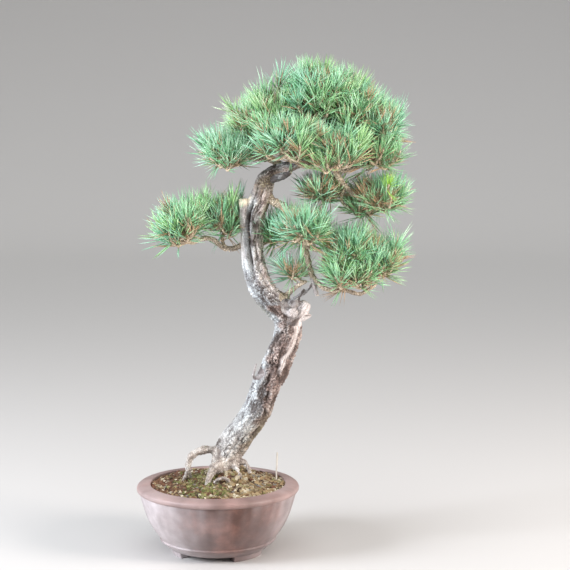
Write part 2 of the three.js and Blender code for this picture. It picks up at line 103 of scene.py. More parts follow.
for name, place, size, watts, tint in [
    ("light_left", (-2.25, -1.0, 1.2), 1.1, 93, "#f4f7ff"),
    ("light_right", (2.2, -1.05, 1.1), 1.0, 77, "#fff4ee"),
    ("light_front", (-0.3, -3.4, 1.8), 2.0, 8, "#ffffff"),
]:
    aim = (Vector((0.0, 0, 0.6)) - Vector(place)).to_track_quat("-Z", "Y").to_euler()
    bpy.ops.object.light_add(type="AREA", location=place, rotation=aim)
    lamp = bpy.context.object
    lamp.name = name
    lamp.data.size = size
    lamp.data.energy = watts
    lamp.data.color = linear(tint)[:3]
bpy.ops.object.light_add(type="SUN", location=(0, 0, 3), rotation=(radians(14), 0, 0))
overhead = bpy.context.object
overhead.name = "light_overhead"
overhead.data.energy = 1.4
overhead.data.angle = radians(60)

bpy.ops.mesh.primitive_plane_add(size=FLOOR_SIZE, location=(0, -2, -0.0002))
floor = bpy.context.object
floor.name = "floor"
bpy.ops.object.mode_set(mode="EDIT")
bpy.ops.mesh.select_mode(type="EDGE")
bpy.ops.mesh.select_all(action="DESELECT")
bpy.ops.object.mode_set(mode="OBJECT")
for edge in floor.data.edges:
    edge.select = all(floor.data.vertices[v].co.y > FLOOR_SIZE / 2 - 0.1 for v in edge.vertices)
bpy.ops.object.mode_set(mode="EDIT")
for step in range(CURVE_STEPS):
    low, high = radians(step * 90 / CURVE_STEPS), radians((step + 1) * 90 / CURVE_STEPS)
    bpy.ops.mesh.extrude_edges_move(TRANSFORM_OT_translate={"value": (
        0, WALL_CURVE * (sin(high) - sin(low)), WALL_CURVE * (cos(low) - cos(high)))})
bpy.ops.mesh.extrude_edges_move(TRANSFORM_OT_translate={"value": (0, 0, 3)})
bpy.ops.object.mode_set(mode="OBJECT")
bpy.ops.object.shade_smooth()
# Painted board: pale and matt, so it takes soft shadows and shows no shine.
painted_board, _ = start_material("painted board", Base_Color=linear("#cbcac8"), Roughness=0.9)
floor.data.materials.append(painted_board)

world = bpy.data.worlds.new("studio")
world.use_nodes = True
world.node_tree.nodes["Background"].inputs["Color"].default_value = linear("#e4e5e8")
world.node_tree.nodes["Background"].inputs["Strength"].default_value = 0.28
bpy.context.scene.world = world
bpy.context.scene.view_settings.view_transform = "Standard"


# Pot: thrown from brown-mauve stoneware and fired without a glaze. It has a lip with a groove
# under it, a band round the base and three feet, cut from a ring. A pale bloom of lime lies on the
# wall, with a painted highlight of the side lamps mixed into it.
POT_AXIS = -0.091
POT_SECTION_MM = [
    (12, 9), (57, 9), (76, 9), (78.5, 9.6), (86, 15.5), (93.4, 22.4), (93.6, 23.6), (92.4, 25.2),
    (96.6, 30.4), (101.4, 37), (106.4, 44.8), (110.6, 52.5), (114.4, 61), (117.6, 70), (120.6, 80),
    (123.2, 89), (125.4, 97), (125, 99.2), (128.3, 100.4), (129.6, 102.2), (130, 105), (129, 107.8),
    (126.6, 109.6), (118, 111.1), (109.4, 112.3), (108.2, 111.6), (107.8, 108), (109.6, 104.4),
    (112.6, 101), (112.2, 89), (103, 64), (90, 38), (72, 19.5), (12, 19.5), (12, 9),
]
FOOT_MIDDLES_DEG = (-44, 76, 196)
FOOT_HALF_DEG = 24
FOOT_HEIGHT = 0.009
FOOT_FROM, FOOT_TO = 0.057, 0.076
BASE_TOP, LIP_FOOT = 0.02, 0.099
# Where the pale coat lies: its middle round the pot and its half width in degrees, and how thick. It is
# real bloom of lime, and the two front patches, where the side lamps shine, are painted highlight as well.
BLOOM_AND_HIGHLIGHT = [(-143, 37, 0.84), (-20, 30, 0.42), (75, 60, 0.5)]


def turned(name, section, segments):
    """A shape thrown on the wheel: a circle is drawn from ring to ring through the section."""
    radius, height = section[0]
    bpy.ops.object.select_all(action="DESELECT")
    bpy.ops.mesh.primitive_circle_add(
        vertices=segments, radius=radius / 1000, location=(POT_AXIS, 0, height / 1000))
    piece = bpy.context.object
    piece.name = name
    bpy.ops.object.mode_set(mode="EDIT")
    for (radius, height), (next_radius, next_height) in zip(section, section[1:]):
        bpy.ops.mesh.extrude_edges_move(
            TRANSFORM_OT_translate={"value": (0, 0, (next_height - height) / 1000)})
        share = next_radius / radius
        bpy.ops.transform.resize(value=(share, share, 1),
                                 center_override=(POT_AXIS, 0, next_height / 1000))
    bpy.ops.mesh.select_all(action="SELECT")
    bpy.ops.mesh.remove_doubles(threshold=0.00005)
    bpy.ops.mesh.normals_make_consistent(inside=False)
    bpy.ops.mesh.select_all(action="DESELECT")
    bpy.ops.object.mode_set(mode="OBJECT")
    bpy.ops.object.transform_apply(location=True, rotation=True, scale=True)
    return piece


pot = turned("pot_body", POT_SECTION_MM, 180)
for face in pot.data.polygons:
    x, y = face.center.x - POT_AXIS, face.center.y
    from_middle = min(abs((degrees(atan2(y, x)) - m + 180) % 360 - 180) for m in FOOT_MIDDLES_DEG)
    flat = abs(face.center.z - FOOT_HEIGHT) < 0.0002
    face.select = flat and FOOT_FROM < hypot(x, y) < FOOT_TO and from_middle < FOOT_HALF_DEG
bpy.ops.object.mode_set(mode="EDIT")
bpy.ops.mesh.select_mode(type="FACE")
bpy.ops.mesh.extrude_region_move(TRANSFORM_OT_translate={"value": (0, 0, -FOOT_HEIGHT)})
bpy.ops.object.mode_set(mode="OBJECT")
for corner in pot.data.vertices:
    if corner.co.z < 0.001:
        out = hypot(corner.co.x - POT_AXIS, corner.co.y)
        share = (0.0735 if out > 0.066 else 0.0575) / out
        corner.co.x = POT_AXIS + (corner.co.x - POT_AXIS) * share
        corner.co.y *= share
bpy.ops.object.modifier_add(type="BEVEL")
edge_softness = pot.modifiers[-1]
edge_softness.width = 0.0007
edge_softness.segments = 2
edge_softness.angle_limit = radians(32)
bpy.ops.object.modifier_apply(modifier=edge_softness.name)
bpy.ops.object.shade_smooth_by_angle(angle=radians(40))

# The pale coat at each corner: bloom of lime, and painted highlight too, strongest at the front left and
# right where the side lamps shine. The base band is painted paler all round, as a highlight.
bloom_and_highlight, worn = [], []
for corner in pot.data.vertices:
    spot = corner.co - Vector((POT_AXIS, 0, 0))
    turn = degrees(atan2(spot.y, spot.x))
    amount = sum(share * np.exp(-(((turn - middle + 180) % 360 - 180) / wide) ** 2)
                 for middle, wide, share in BLOOM_AND_HIGHLIGHT)
    round_wall = Vector((cos(radians(turn)), sin(radians(turn)), 0))
    patches = noise.fractal(round_wall * 3 + Vector((0, 0, spot.z * 22)), 0.8, 2, 3)
    streaks = noise.noise(round_wall * 9 + Vector((0, 0, spot.z * 12)))
    on_wall = (amount + 0.02) * (1 + 0.35 * patches) + 0.26 * streaks * (spot.z / 0.1) ** 2
    on_lip = 0.2 + 0.25 * amount + 0.12 * patches
    on_base = 0.85 * amount + 0.2
    bloom_and_highlight.append(min(1, max(0, on_base if spot.z < BASE_TOP else on_wall if spot.z < LIP_FOOT else on_lip)))
    worn.append(0.4 + 0.25 * patches if spot.z > LIP_FOOT else 0)

# Unglazed stoneware, rubbed smooth before firing: a dull soft shine, slow changes of colour, and a
# whitish bloom of lime that water has left on parts of the wall. The same whitish coat is also painted
# highlight where the side lamps shine and along the base band. Its grit is finer than 0.5 mm, and is
# drawn coarser so that it shows. The wheel's wiping marks are 2.4 mm apart.
CLOUD_MM, BLOOM_AND_HIGHLIGHT_PATCH_MM, GRIT_MM = 52.63, 16.67, 0.909
WIPE_MM = (83.33, 83.33, 2.381)
stoneware, place = start_material("unglazed stoneware", Roughness=0.5, IOR=1.5)
clouds = add_node(stoneware, "TexNoise", {
    "Vector": place, "Scale": 1000 / CLOUD_MM, "Detail": 5, "Roughness": 0.6})
grit = add_node(stoneware, "TexNoise", {"Vector": place, "Scale": 1000 / GRIT_MM, "Detail": 3})
wipe_place = add_node(stoneware, "Mapping", {"Vector": place, "Scale": [1000 / mm for mm in WIPE_MM]})
wiping = add_node(stoneware, "TexNoise", {"Vector": wipe_place, "Scale": 1, "Detail": 3})
fired = add_node(stoneware, "ValToRGB", (clouds,),
                 stops=[(0.34, "#48312a"), (0.5, "#5e423a"), (0.64, "#805b51")])
rubbed = add_node(stoneware, "Mix", {
    0: add_node(stoneware, "Attribute", attribute_name="worn"), 6: fired, 7: linear("#ad8478")})
bloom_and_highlight_patches = add_node(stoneware, "TexNoise", {
    "Vector": place, "Scale": 1000 / BLOOM_AND_HIGHLIGHT_PATCH_MM, "Detail": 4})
bloom_and_highlight_edge = add_node(stoneware, "MapRange", (bloom_and_highlight_patches, 0.35, 0.65, 0.8, 1))
bloom_and_highlight_spread = add_node(stoneware, "Math", (
    add_node(stoneware, "Attribute", attribute_name="bloom_and_highlight"), bloom_and_highlight_edge), operation="MULTIPLY")
# The whitish coat: bloom of lime, and painted highlight of the side lamps.
with_bloom_and_highlight = add_node(stoneware, "Mix", {0: bloom_and_highlight_spread, 6: rubbed, 7: linear("#c9c1c3")})
speck_spread = add_node(stoneware, "MapRange", (grit, 0.62, 0.75, 0, 0.4))
specked = add_node(stoneware, "Mix", {0: speck_spread, 6: with_bloom_and_highlight, 7: linear("#6f514d")})
grit_bump = add_node(stoneware, "Bump", {"Height": grit, "Strength": 0.25, "Distance": 0.0003})
wipe_bump = add_node(stoneware, "Bump", {
    "Height": wiping, "Strength": 0.2, "Distance": 0.0008, "Normal": grit_bump})
finish_material(stoneware, specked, wipe_bump)
pot.data.materials.append(stoneware)
pot.data.attributes.new("bloom_and_highlight", "FLOAT", "POINT").data.foreach_set("value", bloom_and_highlight)
pot.data.attributes.new("worn", "FLOAT", "POINT").data.foreach_set("value", worn)
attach(pot, "root")
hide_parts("pot")


# Drain mesh: a disc of black plastic net that lies over the drain hole and keeps the soil in.
# It is moulded polyethylene, seen only from below. Its solid from the frame stays.
SCUFF_MM = 3.846
net_plastic, place = start_material("moulded polyethylene", Roughness=0.5, IOR=1.51)
scuffs = add_node(net_plastic, "TexNoise", {"Vector": place, "Scale": 1000 / SCUFF_MM, "Detail": 4})
scuffed = add_node(net_plastic, "ValToRGB", (scuffs,), stops=[(0.35, "#212325"), (0.7, "#34373a")])
scuff_bump = add_node(net_plastic, "Bump", {"Height": scuffs, "Strength": 0.3, "Distance": 0.0003})
finish_material(net_plastic, scuffed, scuff_bump)
for material_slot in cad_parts["drain_mesh"].material_slots:
    material_slot.material = net_plastic


# Soil: a mix of baked clay, pumice and lava grains of 4 to 6 mm, heaped round the roots, with
# loose moss on it. It is poured in, so each grain lies at its own angle.
SOIL_SECTION_MM = [
    (1, 19.8), (71.5, 19.8), (89.5, 38.2), (111.7, 89), (112, 100.8), (107.3, 106),
    *[(radius, 106.2) for radius in (105, 100, 95, 90, 85, 80, 75, 70, 65, 60, 55, 50, 45, 40,
                                     35, 30, 25, 20, 15, 10, 5, 1)],
]
GRAINS = 2900
GRAIN_MM = (4.0, 6.3)
GRAINS_REACH_MM = 106
MOSS_TUFTS = 1500
MOSS_REACH_MM = 104
TRUNK_FOOT_MM = (12, 18)
GOLDEN_TURN = pi * (3 - 5 ** 0.5)


def draw(i, k):
    """A number from 0 to 1 that is always the same for the same pair."""
    mixed = np.sin(np.asarray(i) * 12.9898 + np.asarray(k) * 78.233) * 43758.5453
    return mixed - np.floor(mixed)


def soil_height(x, y):
    """The soil's height in mm above the standing surface, at mm from the pot's axis."""
    from_mound = np.hypot(x - 16, y - 12) / 46
    edge = np.clip((np.hypot(x, y) - 80) / 27, 0, 1)
    edge = edge * edge * (3 - 2 * edge)
    return 108.5 + (3 + 25 * np.exp(-from_mound * from_mound)) * (1 - edge)


def place_in_pot(spots):
    """Points in mm from the pot's axis as points in the frame."""
    return np.asarray(spots, float) / 1000 + (POT_AXIS, 0, 0)


def points_of(mesh):
    spots = np.empty(len(mesh.vertices) * 3)
    mesh.vertices.foreach_get("co", spots)
    return spots.reshape(-1, 3)


def triangles_of(mesh):
    mesh.calc_loop_triangles()
    corners = np.empty(len(mesh.loop_triangles) * 3, int)
    mesh.loop_triangles.foreach_get("vertices", corners)
    return corners.reshape(-1, 3)


def store(mesh, name, values):
    """Keeps a number for each point of a mesh, which a material then reads by its name."""
    mesh.attributes.new(name, "FLOAT", "POINT").data.foreach_set("value", np.asarray(values, "f"))


def scattered(name, shapes, choice, spots, turns, sizes, stored, carried=()):
    """One mesh of many copies of a few shapes, each turned, sized and put in its place."""
    points, faces, values, count = [], [], {key: [] for key in stored}, 0
    for n, shape in enumerate(shapes):
        here = np.flatnonzero(choice == n)
        template, corners = points_of(shape), triangles_of(shape)
        laid = np.einsum("kij,vj->kvi", turns[here], template) * sizes[here, None, None]
        points.append((laid + spots[here, None, :]).reshape(-1, 3))
        starts = count + np.arange(len(here)) * len(template)
        faces.append((corners[None] + starts[:, None, None]).reshape(-1, 3))
        for key, numbers in stored.items():
            values[key].append(np.repeat(numbers[here], len(template)))
        for key in carried:
            own = np.empty(len(template))
            shape.attributes[key].data.foreach_get("value", own)
            values.setdefault(key, []).append(np.tile(own, len(here)))
        count += len(here) * len(template)
    mesh = bpy.data.meshes.new(name)
    mesh.from_pydata(np.vstack(points), [], np.vstack(faces))
    for key, numbers in values.items():
        store(mesh, key, np.concatenate(numbers))
    made = bpy.data.objects.new(name, mesh)
    bpy.context.collection.objects.link(made)
    return made


def turned_any_way(count, seed, lean=pi):
    """Turns about the upright by any angle, after a lean of up to the given angle."""
    i = np.arange(count)
    round_up, lean_to, tilt = draw(i, seed) * 2 * pi, draw(i, seed + 1) * 2 * pi, draw(i, seed + 2) * lean
    axis = np.stack([np.cos(lean_to), np.sin(lean_to), 0 * tilt], 1)
    cross = np.zeros((count, 3, 3))
    cross[:, 0, 2], cross[:, 1, 2] = axis[:, 1], -axis[:, 0]
    cross[:, 2, 0], cross[:, 2, 1] = -axis[:, 1], axis[:, 0]
    tilted = (np.eye(3) + np.sin(tilt)[:, None, None] * cross
              + (1 - np.cos(tilt))[:, None, None] * cross @ cross)
    spun = np.zeros((count, 3, 3))
    spun[:, 0, 0] = spun[:, 1, 1] = np.cos(round_up)
    spun[:, 1, 0], spun[:, 0, 1], spun[:, 2, 2] = np.sin(round_up), -np.sin(round_up), 1
    return tilted @ spun


def joined(name, parts):
    """Several objects as one piece."""
    bpy.ops.object.select_all(action="DESELECT")
    for part in parts:
        part.select_set(True)
    bpy.context.view_layer.objects.active = parts[0]
    bpy.ops.object.join()
    parts[0].name = name
    return parts[0]


def strewn(count, reach, wind, jitter, seed):
    """Numbers, and points in mm from the pot's axis, strewn evenly over a round bed."""
    i = np.arange(count)
    away = reach * np.sqrt((i + 0.5) / count)
    turn = i * GOLDEN_TURN * wind + jitter * draw(i, seed)
    return i, away * np.cos(turn), away * np.sin(turn)


soil_bed = turned("soil_bed", SOIL_SECTION_MM, 96)
bpy.ops.object.mode_set(mode="EDIT")
bpy.ops.mesh.select_all(action="SELECT")
bpy.ops.mesh.select_mode(type="EDGE")
bpy.ops.mesh.region_to_loop()
bpy.ops.mesh.fill_holes(sides=0)
bpy.ops.mesh.select_all(action="SELECT")
bpy.ops.mesh.fill_holes(sides=0)
bpy.ops.mesh.normals_make_consistent(inside=False)
bpy.ops.object.mode_set(mode="OBJECT")
for corner in soil_bed.data.vertices:
    x, y = (corner.co.x - POT_AXIS) * 1000, corner.co.y * 1000
    if corner.co.z > 0.1061:
        lump = noise.noise(Vector((x / 9, y / 9, 0)))
        corner.co.z = (soil_height(x, y) - 4.4 + 1.2 * lump) / 1000
store(soil_bed.data, "kind", np.full(len(soil_bed.data.vertices), 0.1))

grain_shapes = []
for seed in range(4):
    bpy.ops.object.select_all(action="DESELECT")
    bpy.ops.mesh.primitive_cube_add(size=0.001)
    bpy.ops.object.mode_set(mode="EDIT")
    bpy.ops.mesh.bevel(offset=0.00026 - 0.00002 * seed, affect="VERTICES")
    bpy.ops.transform.vertex_random(offset=0.00012, seed=seed + 3)
    bpy.ops.object.mode_set(mode="OBJECT")
    grain_shapes.append(bpy.context.object)
i, x, y = strewn(GRAINS, GRAINS_REACH_MM, 1, 1.5, 5)
size = GRAIN_MM[0] + (GRAIN_MM[1] - GRAIN_MM[0]) * draw(i, 6) ** 1.6
high = soil_height(x, y) - 1.5 + 3 * (draw(i, 7) - 0.5)
# The kind picks a grain's colour: paler baked clay lies on the right, darker on the left, and a few
# grains are slate.
kind = 0.04 + 0.9 * draw(i, 8)
kind = np.where((x > 10) & (draw(i, 17) < 0.4), 0.4 + 0.5 * draw(i, 8), kind)
kind = np.where(draw(i, 9) < np.clip((-x - 10) / 60, 0, 0.55), 0.14 + 0.2 * draw(i, 8), kind)
kind = np.where(draw(i, 18) < 0.02, 1, kind)
from_trunk = np.hypot(x - TRUNK_FOOT_MM[0], y - TRUNK_FOOT_MM[1])
keep = from_trunk > 17
grains = scattered("grains", [shape.data for shape in grain_shapes], (i % 4)[keep],
                   place_in_pot(np.stack([x, y, high], 1))[keep], turned_any_way(GRAINS, 10)[keep],
                   size[keep], {"kind": kind[keep]})

tuft_shapes = []
for seed in range(2):
    blades = []
    for n in range(7):
        bpy.ops.object.select_all(action="DESELECT")
        lean, way = radians(14 + 30 * draw(n, seed)), n * 2.4 + seed
        bpy.ops.mesh.primitive_cone_add(
            vertices=3, radius1=0.00048, depth=0.0036, location=(0, 0, 0), end_fill_type="NOTHING")
        blade = bpy.context.object
        bpy.ops.transform.translate(value=(0.0011 * cos(way), 0.0011 * sin(way), 0.0014))
        blade.rotation_euler = (0, lean, way)
        bpy.ops.object.transform_apply(location=True, rotation=True, scale=True)
        blades.append(blade)
    tuft_shapes.append(joined("tuft", blades))
i, x, y = strewn(MOSS_TUFTS, MOSS_REACH_MM, 1.003, 2, 25)
patch = np.array([noise.noise(Vector((a / 21, b / 21, 4.0))) for a, b in zip(x, y)])
near_roots = (1.3 * np.exp(-((x + 28) / 28) ** 2 - ((y + 20) / 36) ** 2)
              + 0.8 * np.exp(-((x + 8) / 42) ** 2 - ((y + 72) / 22) ** 2))
from_trunk = np.hypot(x - TRUNK_FOOT_MM[0], y - TRUNK_FOOT_MM[1])
keep = (patch + 1.1 * near_roots + 0.5 * (draw(i, 26) - 0.5) > 0.42) & (from_trunk > 19)
moss = scattered("moss", [shape.data for shape in tuft_shapes], (i % 2)[keep],
                 place_in_pot(np.stack([x, y, soil_height(x, y) + 0.6], 1))[keep],
                 turned_any_way(MOSS_TUFTS, 30, 0.6)[keep], (0.8 + 0.8 * draw(i, 27))[keep],
                 {"green": 0.25 + 0.75 * draw(i, 28)[keep]})

# Baked clay, pumice and lava: matt and porous, in tan, brown, cream, rust and slate. Real pores are
# 0.1 to 0.5 mm wide, and are drawn coarser so that they show.
PORE_MM = 1.429
grit_mix, place = start_material("baked clay and pumice grit", Roughness=0.92)
pores = add_node(grit_mix, "TexNoise", {
    "Vector": place, "Scale": 1000 / PORE_MM, "Detail": 5, "Roughness": 0.65})
kind = add_node(grit_mix, "Attribute", attribute_name="kind")
grain_colour = add_node(grit_mix, "ValToRGB", (kind,), stops=[
    (0.0, "#3c3026"), (0.15, "#5c4737"), (0.28, "#704a37"), (0.42, "#7d6849"), (0.6, "#a48e69"),
    (0.75, "#8f8166"), (0.9, "#dcd2b9"), (0.98, "#7b7872")])
pore_shade = add_node(grit_mix, "MapRange", (pores, 0.3, 0.75, 0.62, 1.2))
grain_shaded = add_node(grit_mix, "Mix", {0: 1.0, 6: grain_colour, 7: pore_shade}, blend_type="MULTIPLY")
pore_bump = add_node(grit_mix, "Bump", {"Height": pores, "Strength": 0.6, "Distance": 0.0006})
finish_material(grit_mix, grain_shaded, pore_bump)

# Living moss: fine and velvety, olive in the hollows and yellow-green on its tips.
MOSS_PATCH_MM = 11.11
living_moss, place = start_material("living moss", Roughness=0.8, Sheen_Weight=0.25, Sheen_Roughness=0.5)
moss_patches = add_node(living_moss, "TexNoise", {
    "Vector": place, "Scale": 1000 / MOSS_PATCH_MM, "Detail": 3})
moss_mix = add_node(living_moss, "Math", (
    add_node(living_moss, "Attribute", attribute_name="green"), moss_patches), operation="MULTIPLY")
moss_colour = add_node(living_moss, "ValToRGB", (moss_mix,), stops=[
    (0.08, "#464d26"), (0.24, "#6d733a"), (0.4, "#989a58"), (0.58, "#bcb582")])
finish_material(living_moss, moss_colour)

soil_bed.data.materials.append(grit_mix)
grains.data.materials.append(grit_mix)
moss.data.materials.append(living_moss)
soil = joined("soil_and_moss", [soil_bed, grains, moss])
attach(soil, "root")
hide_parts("soil")
for shape in [*grain_shapes, *tuft_shapes]:
    bpy.data.objects.remove(shape)


# Trunk, roots, dead wood and branches: one grown piece of pine, held by its roots in the soil.
# Old bark stands in plates with fissures between them. Where it is gone, the wood is bare.
# Each point is x, y, z and the wood's radius there, in mm from the pot's axis.
TRUNK = [
    (13, 18, 74, 15), (12, 18, 96, 20), (12, 18, 114, 24.5), (12.5, 18, 138, 24),
    (16, 17, 158, 23.5), (31, 15, 181, 23.5), (47.5, 13, 204, 22.8), (63, 11, 227, 22.5),
    (72, 9, 251, 22), (80, 7, 274, 21.5), (91.5, 5, 297, 21.5), (99.5, 3, 320, 21.5),
    (109, 1, 342, 21.5), (113, 0, 364, 21.5), (109, 0, 383, 22), (98, 1, 396, 22),
    (82.5, 2, 409, 21), (70, 4, 429, 19.5), (62, 6, 450, 18), (57.5, 8, 471, 17),
    (55, 9, 492, 17), (55, 10, 517, 17.5), (58, 10, 541, 17.5), (66, 9, 562, 17.5),
    (72, 8, 580, 16.5), (77, 6, 595, 14.5), (88, 3, 607, 11.5), (106, 0, 615, 9.5),
    (122, -4, 620, 7.5), (138, -6, 628, 6.5), (151, -5, 652, 5.5), (152, -2, 672, 4.4),
    (150, 1, 690, 3.6)]
ROOTS = [
    [(8, 20, 152, 9), (-10, 16, 161, 7), (-27, 12, 161, 6.2), (-41, 7, 154, 5.6), (-47, 3, 143.5, 5),
     (-48, 0, 130, 4.6)],
    [(-48, 0, 133, 4), (-52, -2, 122, 3), (-56, -4, 112, 2.6), (-60, -5, 98, 2.2)],
    [(-47.5, 0, 132, 3.4), (-44.5, 2, 124, 2.4), (-43, 1, 114, 2.4), (-41, 0, 98, 2.2)],
    [(8, 6, 146, 13), (0, -8, 141, 9.5), (-11, -25, 131, 6.2), (-14, -35, 118, 5), (-14, -39, 98, 4)],
    [(14, 2, 132, 10), (4, -10, 124, 7), (-2, -18, 112, 5), (-4, -22, 96, 4)],
    [(24, 18, 140, 9), (34, 12, 144, 4.8), (45, 8, 140.5, 3.6), (49.5, 4, 131, 3), (51, 4, 118, 2.8),
     (51, 4, 100, 2.4)],
    [(22, 4, 138, 6), (29.5, -6, 135.5, 3.4), (34, -13, 129, 2.8), (38, -20, 121, 2.6), (41, -24, 104, 2.2)],
    [(6, 34, 132, 9), (-4, 48, 122, 5.5), (-14, 60, 110, 4.2), (-20, 66, 96, 3.4)],
    [(26, 32, 132, 9), (40, 46, 122, 5), (52, 56, 110, 4), (58, 60, 96, 3.2)],
    [(-6, -30, 112, 3), (-1, -38, 123, 2.8), (9, -40, 128, 2.8), (18.7, -38, 122, 2.6), (22, -34, 104, 2.4)]]
DEAD_WOOD = {
    "stump": [(108, -2, 362, 15.5), (123, -3, 380, 12.8), (134, -4, 392, 12), (139, -4, 399, 10.6),
              (142, -4, 404, 7)],
    "spike": [(134, -6, 378, 6), (143, -8, 381.5, 4.4), (149, -8, 383.5, 2.6)],
    "knob": [(116, -10, 386, 8.5), (119, -19, 388, 8.2), (121, -27, 389.5, 7.6)],
    "splinters": [(118, -8, 392, 7), (124, -12, 404, 4), (125, -13, 412, 1.8)],
    "bare_strand": [(50, 7, 506, 9.5), (44, 5, 530, 8.4), (42.5, 4, 550, 8), (41.5, 3, 567, 7.2)],
    "lower_left_stub": [(72, 2, 276, 4.5), (57, -2, 284, 2.6), (59, -4, 294, 2), (62, -5, 306, 1.5)],
    "upper_stub": [(80, 2, 597, 8), (95, -5, 600, 6.4), (108, -9, 604, 4.6), (118, -10, 609, 3)],
    "left_stub": [(28, 18, 489, 3.6), (18, 16, 483, 3.2)],
    "link": [(100, 0, 402, 7), (113, -1, 417, 4.6), (127, -6, 429, 3.2), (142, -11, 438, 2.8)],
    "snag_left": [(112, -8, 398, 5), (119, -15, 409, 3), (128, -17, 415, 2.4), (138, -15, 426, 2)],
    "snag_right": [(127, -8, 404, 4.4), (131, -13, 415, 2.8), (141, -13, 421, 2.4), (151, -11, 435, 2.4)],
    "low_stub": [(150, -11, 444, 4.6), (154.8, -10, 427, 4.2), (158, -10, 414, 3.2)],
    "hollow_stub": [(178, -16, 486, 3.4), (169, -17, 488, 4.6), (167.5, -20, 480, 5.6),
                    (165.5, -21, 471, 4)]}
BRANCHES = {
    "crown_left_low": [(108, 0, 616, 6), (88, 8, 627, 5), (56, 11, 630, 4.2), (30, 5, 633, 3.4)],
    "crown_left_high": [(66, 11, 630, 4), (70, 8, 648, 3.4), (72, 6, 664, 2.8)],
    "crown_left_back": [(88, 8, 627, 4.2), (80, 32, 634, 3.6), (73, 50, 641, 2.8)],
    "crown_front": [(132, -6, 625, 5), (124, -26, 630, 3.8), (117, -38, 636, 2.9)],
    "crown_right_low": [(126, -5, 622, 6), (165, -10, 617, 5), (200, -12, 612, 4.2), (230, -10, 620, 3)],
    "crown_front_right": [(168, -10, 617, 4.4), (178, -28, 619, 3.6), (185, -38, 624, 2.8)],
    "crown_right": [(200, -12, 612, 4.2), (216, 4, 626, 3.6), (234, 14, 644, 3), (242, 12, 654, 2.6)],
    "crown_right_high": [(151, -3, 662, 4.2), (174, 0, 672, 3.6), (195, 0, 676, 2.8)],
    "crown_back": [(151, -4, 650, 4.4), (152, 28, 658, 3.6), (151, 46, 663, 2.8)],
    "crown_back_right": [(168, -10, 617, 4.4), (190, 26, 630, 3.6), (211, 46, 640, 2.8)],
    "shelf_right": [(186, -12, 610, 5), (196, -9, 594, 4.4), (209, -7, 579, 4), (225, -4, 567, 3.4),
                    (241, 0, 559, 2.8)],
    "shelf_middle": [(204, -7, 584, 3.8), (196, 4, 576, 3), (184, 10, 571, 2.6)],
    "shelf_low": [(203, -7, 585, 3.4), (196, 0, 570, 3), (200, 4, 558, 2.8), (214, 8, 549, 2.6)],
    "left_tip": [(52, 12, 503, 6), (40, 18, 493, 4.6), (24, 17, 487, 4), (8, 14, 489, 3.8),
                 (-4, 11, 500, 3.6), (-18, 9, 504, 3.4), (-34, 6, 498, 3)],
    "left_inner": [(14, 15, 487, 3.6), (8, 19, 498, 3), (9, 20, 508, 2.5)],
    "middle_front": [(112, -4, 548, 4.4), (124, -15, 530, 3.4), (132, -22, 513, 2.8)],
    "middle_back": [(104, 0, 552, 4.4), (118, 14, 530, 3.4), (126, 22, 510, 2.7)],
    "middle_inner": [(58, 12, 490, 5), (74, 24, 494, 3.4), (82, 28, 498, 2.6)],
    "low_upper": [(135, -12, 496, 5), (159, -15, 488, 4), (181, -16, 483, 3.4), (196, -14, 478, 2.8)],
    "low_tip": [(76, 8, 570, 9), (90, 3, 562, 7), (109, -4, 552, 6), (121, -8, 541, 5.6),
                (131, -11, 520, 5.4), (136, -12, 497, 5), (143, -12, 474, 4.8), (150, -11, 448, 4.8),
                (164, -10, 430, 4), (180, -10, 423, 3.8), (204, -8, 422, 3.5), (226, -8, 417, 3.2),
                (244, -6, 427, 2.8)],
    "low_bottom": [(182, -10, 424, 3.6), (190, -14, 429, 3), (196, -16, 433, 2.5)],
    "low_inner": [(138, -9, 436, 2.6), (132, -12, 439, 2.4), (128, -13, 441, 2.3)]}
BARK_PLATE_MM, BARK_FLAKE_MM, BARK_LUMP_MM = 8, 2.9, 2.4
PLATE_RELIEF_MM, FLAKE_RELIEF_MM, LUMP_RELIEF_MM = 2.7, 1.3, 1.3
FISSURE_DEPTH_MM, CAVITY_DEPTH_MM = 3.6, 3.5
GROOVE_DEPTH = 0.42
VOXEL_MM = 1.28
NOISE_SEED = 7
PATH_STEP_MM, BRANCH_STEP_MM = 1.5, 1.8
# Heights at which a feature of the trunk begins, is full, starts to fade and is gone, in mm.
FEATURES_MM = {
    "winding ridges": (400, 450, 585, 605), "groove": (448, 466, 548, 566),
    "second groove": (512, 538, 575, 592), "bare strand": (452, 480, 560, 572),
    "fissure": (165, 195, 355, 385), "other fissure": (215, 240, 300, 330),
    "strip": (284, 300, 382, 392), "painted shade above the bend": (398, 408, 442, 462),
    "pale side at the bend": (397, 411, 418, 440)}


def smooth_path(points, step):
    """Rows of x, y, z, radius and length so far, step apart, on the smooth curve through points."""
    given = np.array(points, float)
    reached = np.vstack([2 * given[0, :3] - given[1, :3], given[:, :3], 2 * given[-1, :3] - given[-2, :3]])
    rows = []
    for i in range(len(given) - 1):
        a, b, c, d = reached[i:i + 4]
        ta, tb, tc = [np.linalg.norm(q - p) ** 0.5 for p, q in ((a, b), (b, c), (c, d))]
        leave = ((b - a) / ta - (c - a) / (ta + tb) + (c - b) / tb) * tb
        arrive = ((c - b) / tb - (d - b) / (tb + tc) + (d - c) / tc) * tb
        t = np.linspace(0, 1, 24, endpoint=False)[:, None]
        spot = ((2 * t ** 3 - 3 * t ** 2 + 1) * b + (t ** 3 - 2 * t ** 2 + t) * leave
                + (3 * t ** 2 - 2 * t ** 3) * c + (t ** 3 - t ** 2) * arrive)
        rows.append(np.hstack([spot, given[i, 3] + (given[i + 1, 3] - given[i, 3]) * t]))
    rows = np.vstack([*rows, given[-1:]])
    length = np.concatenate([[0], np.cumsum(np.linalg.norm(np.diff(rows[:, :3], axis=0), axis=1))])
    at = np.linspace(0, length[-1], max(int(length[-1] / step), 2) + 1)
    return np.column_stack([*[np.interp(at, length, rows[:, n]) for n in range(4)], at])


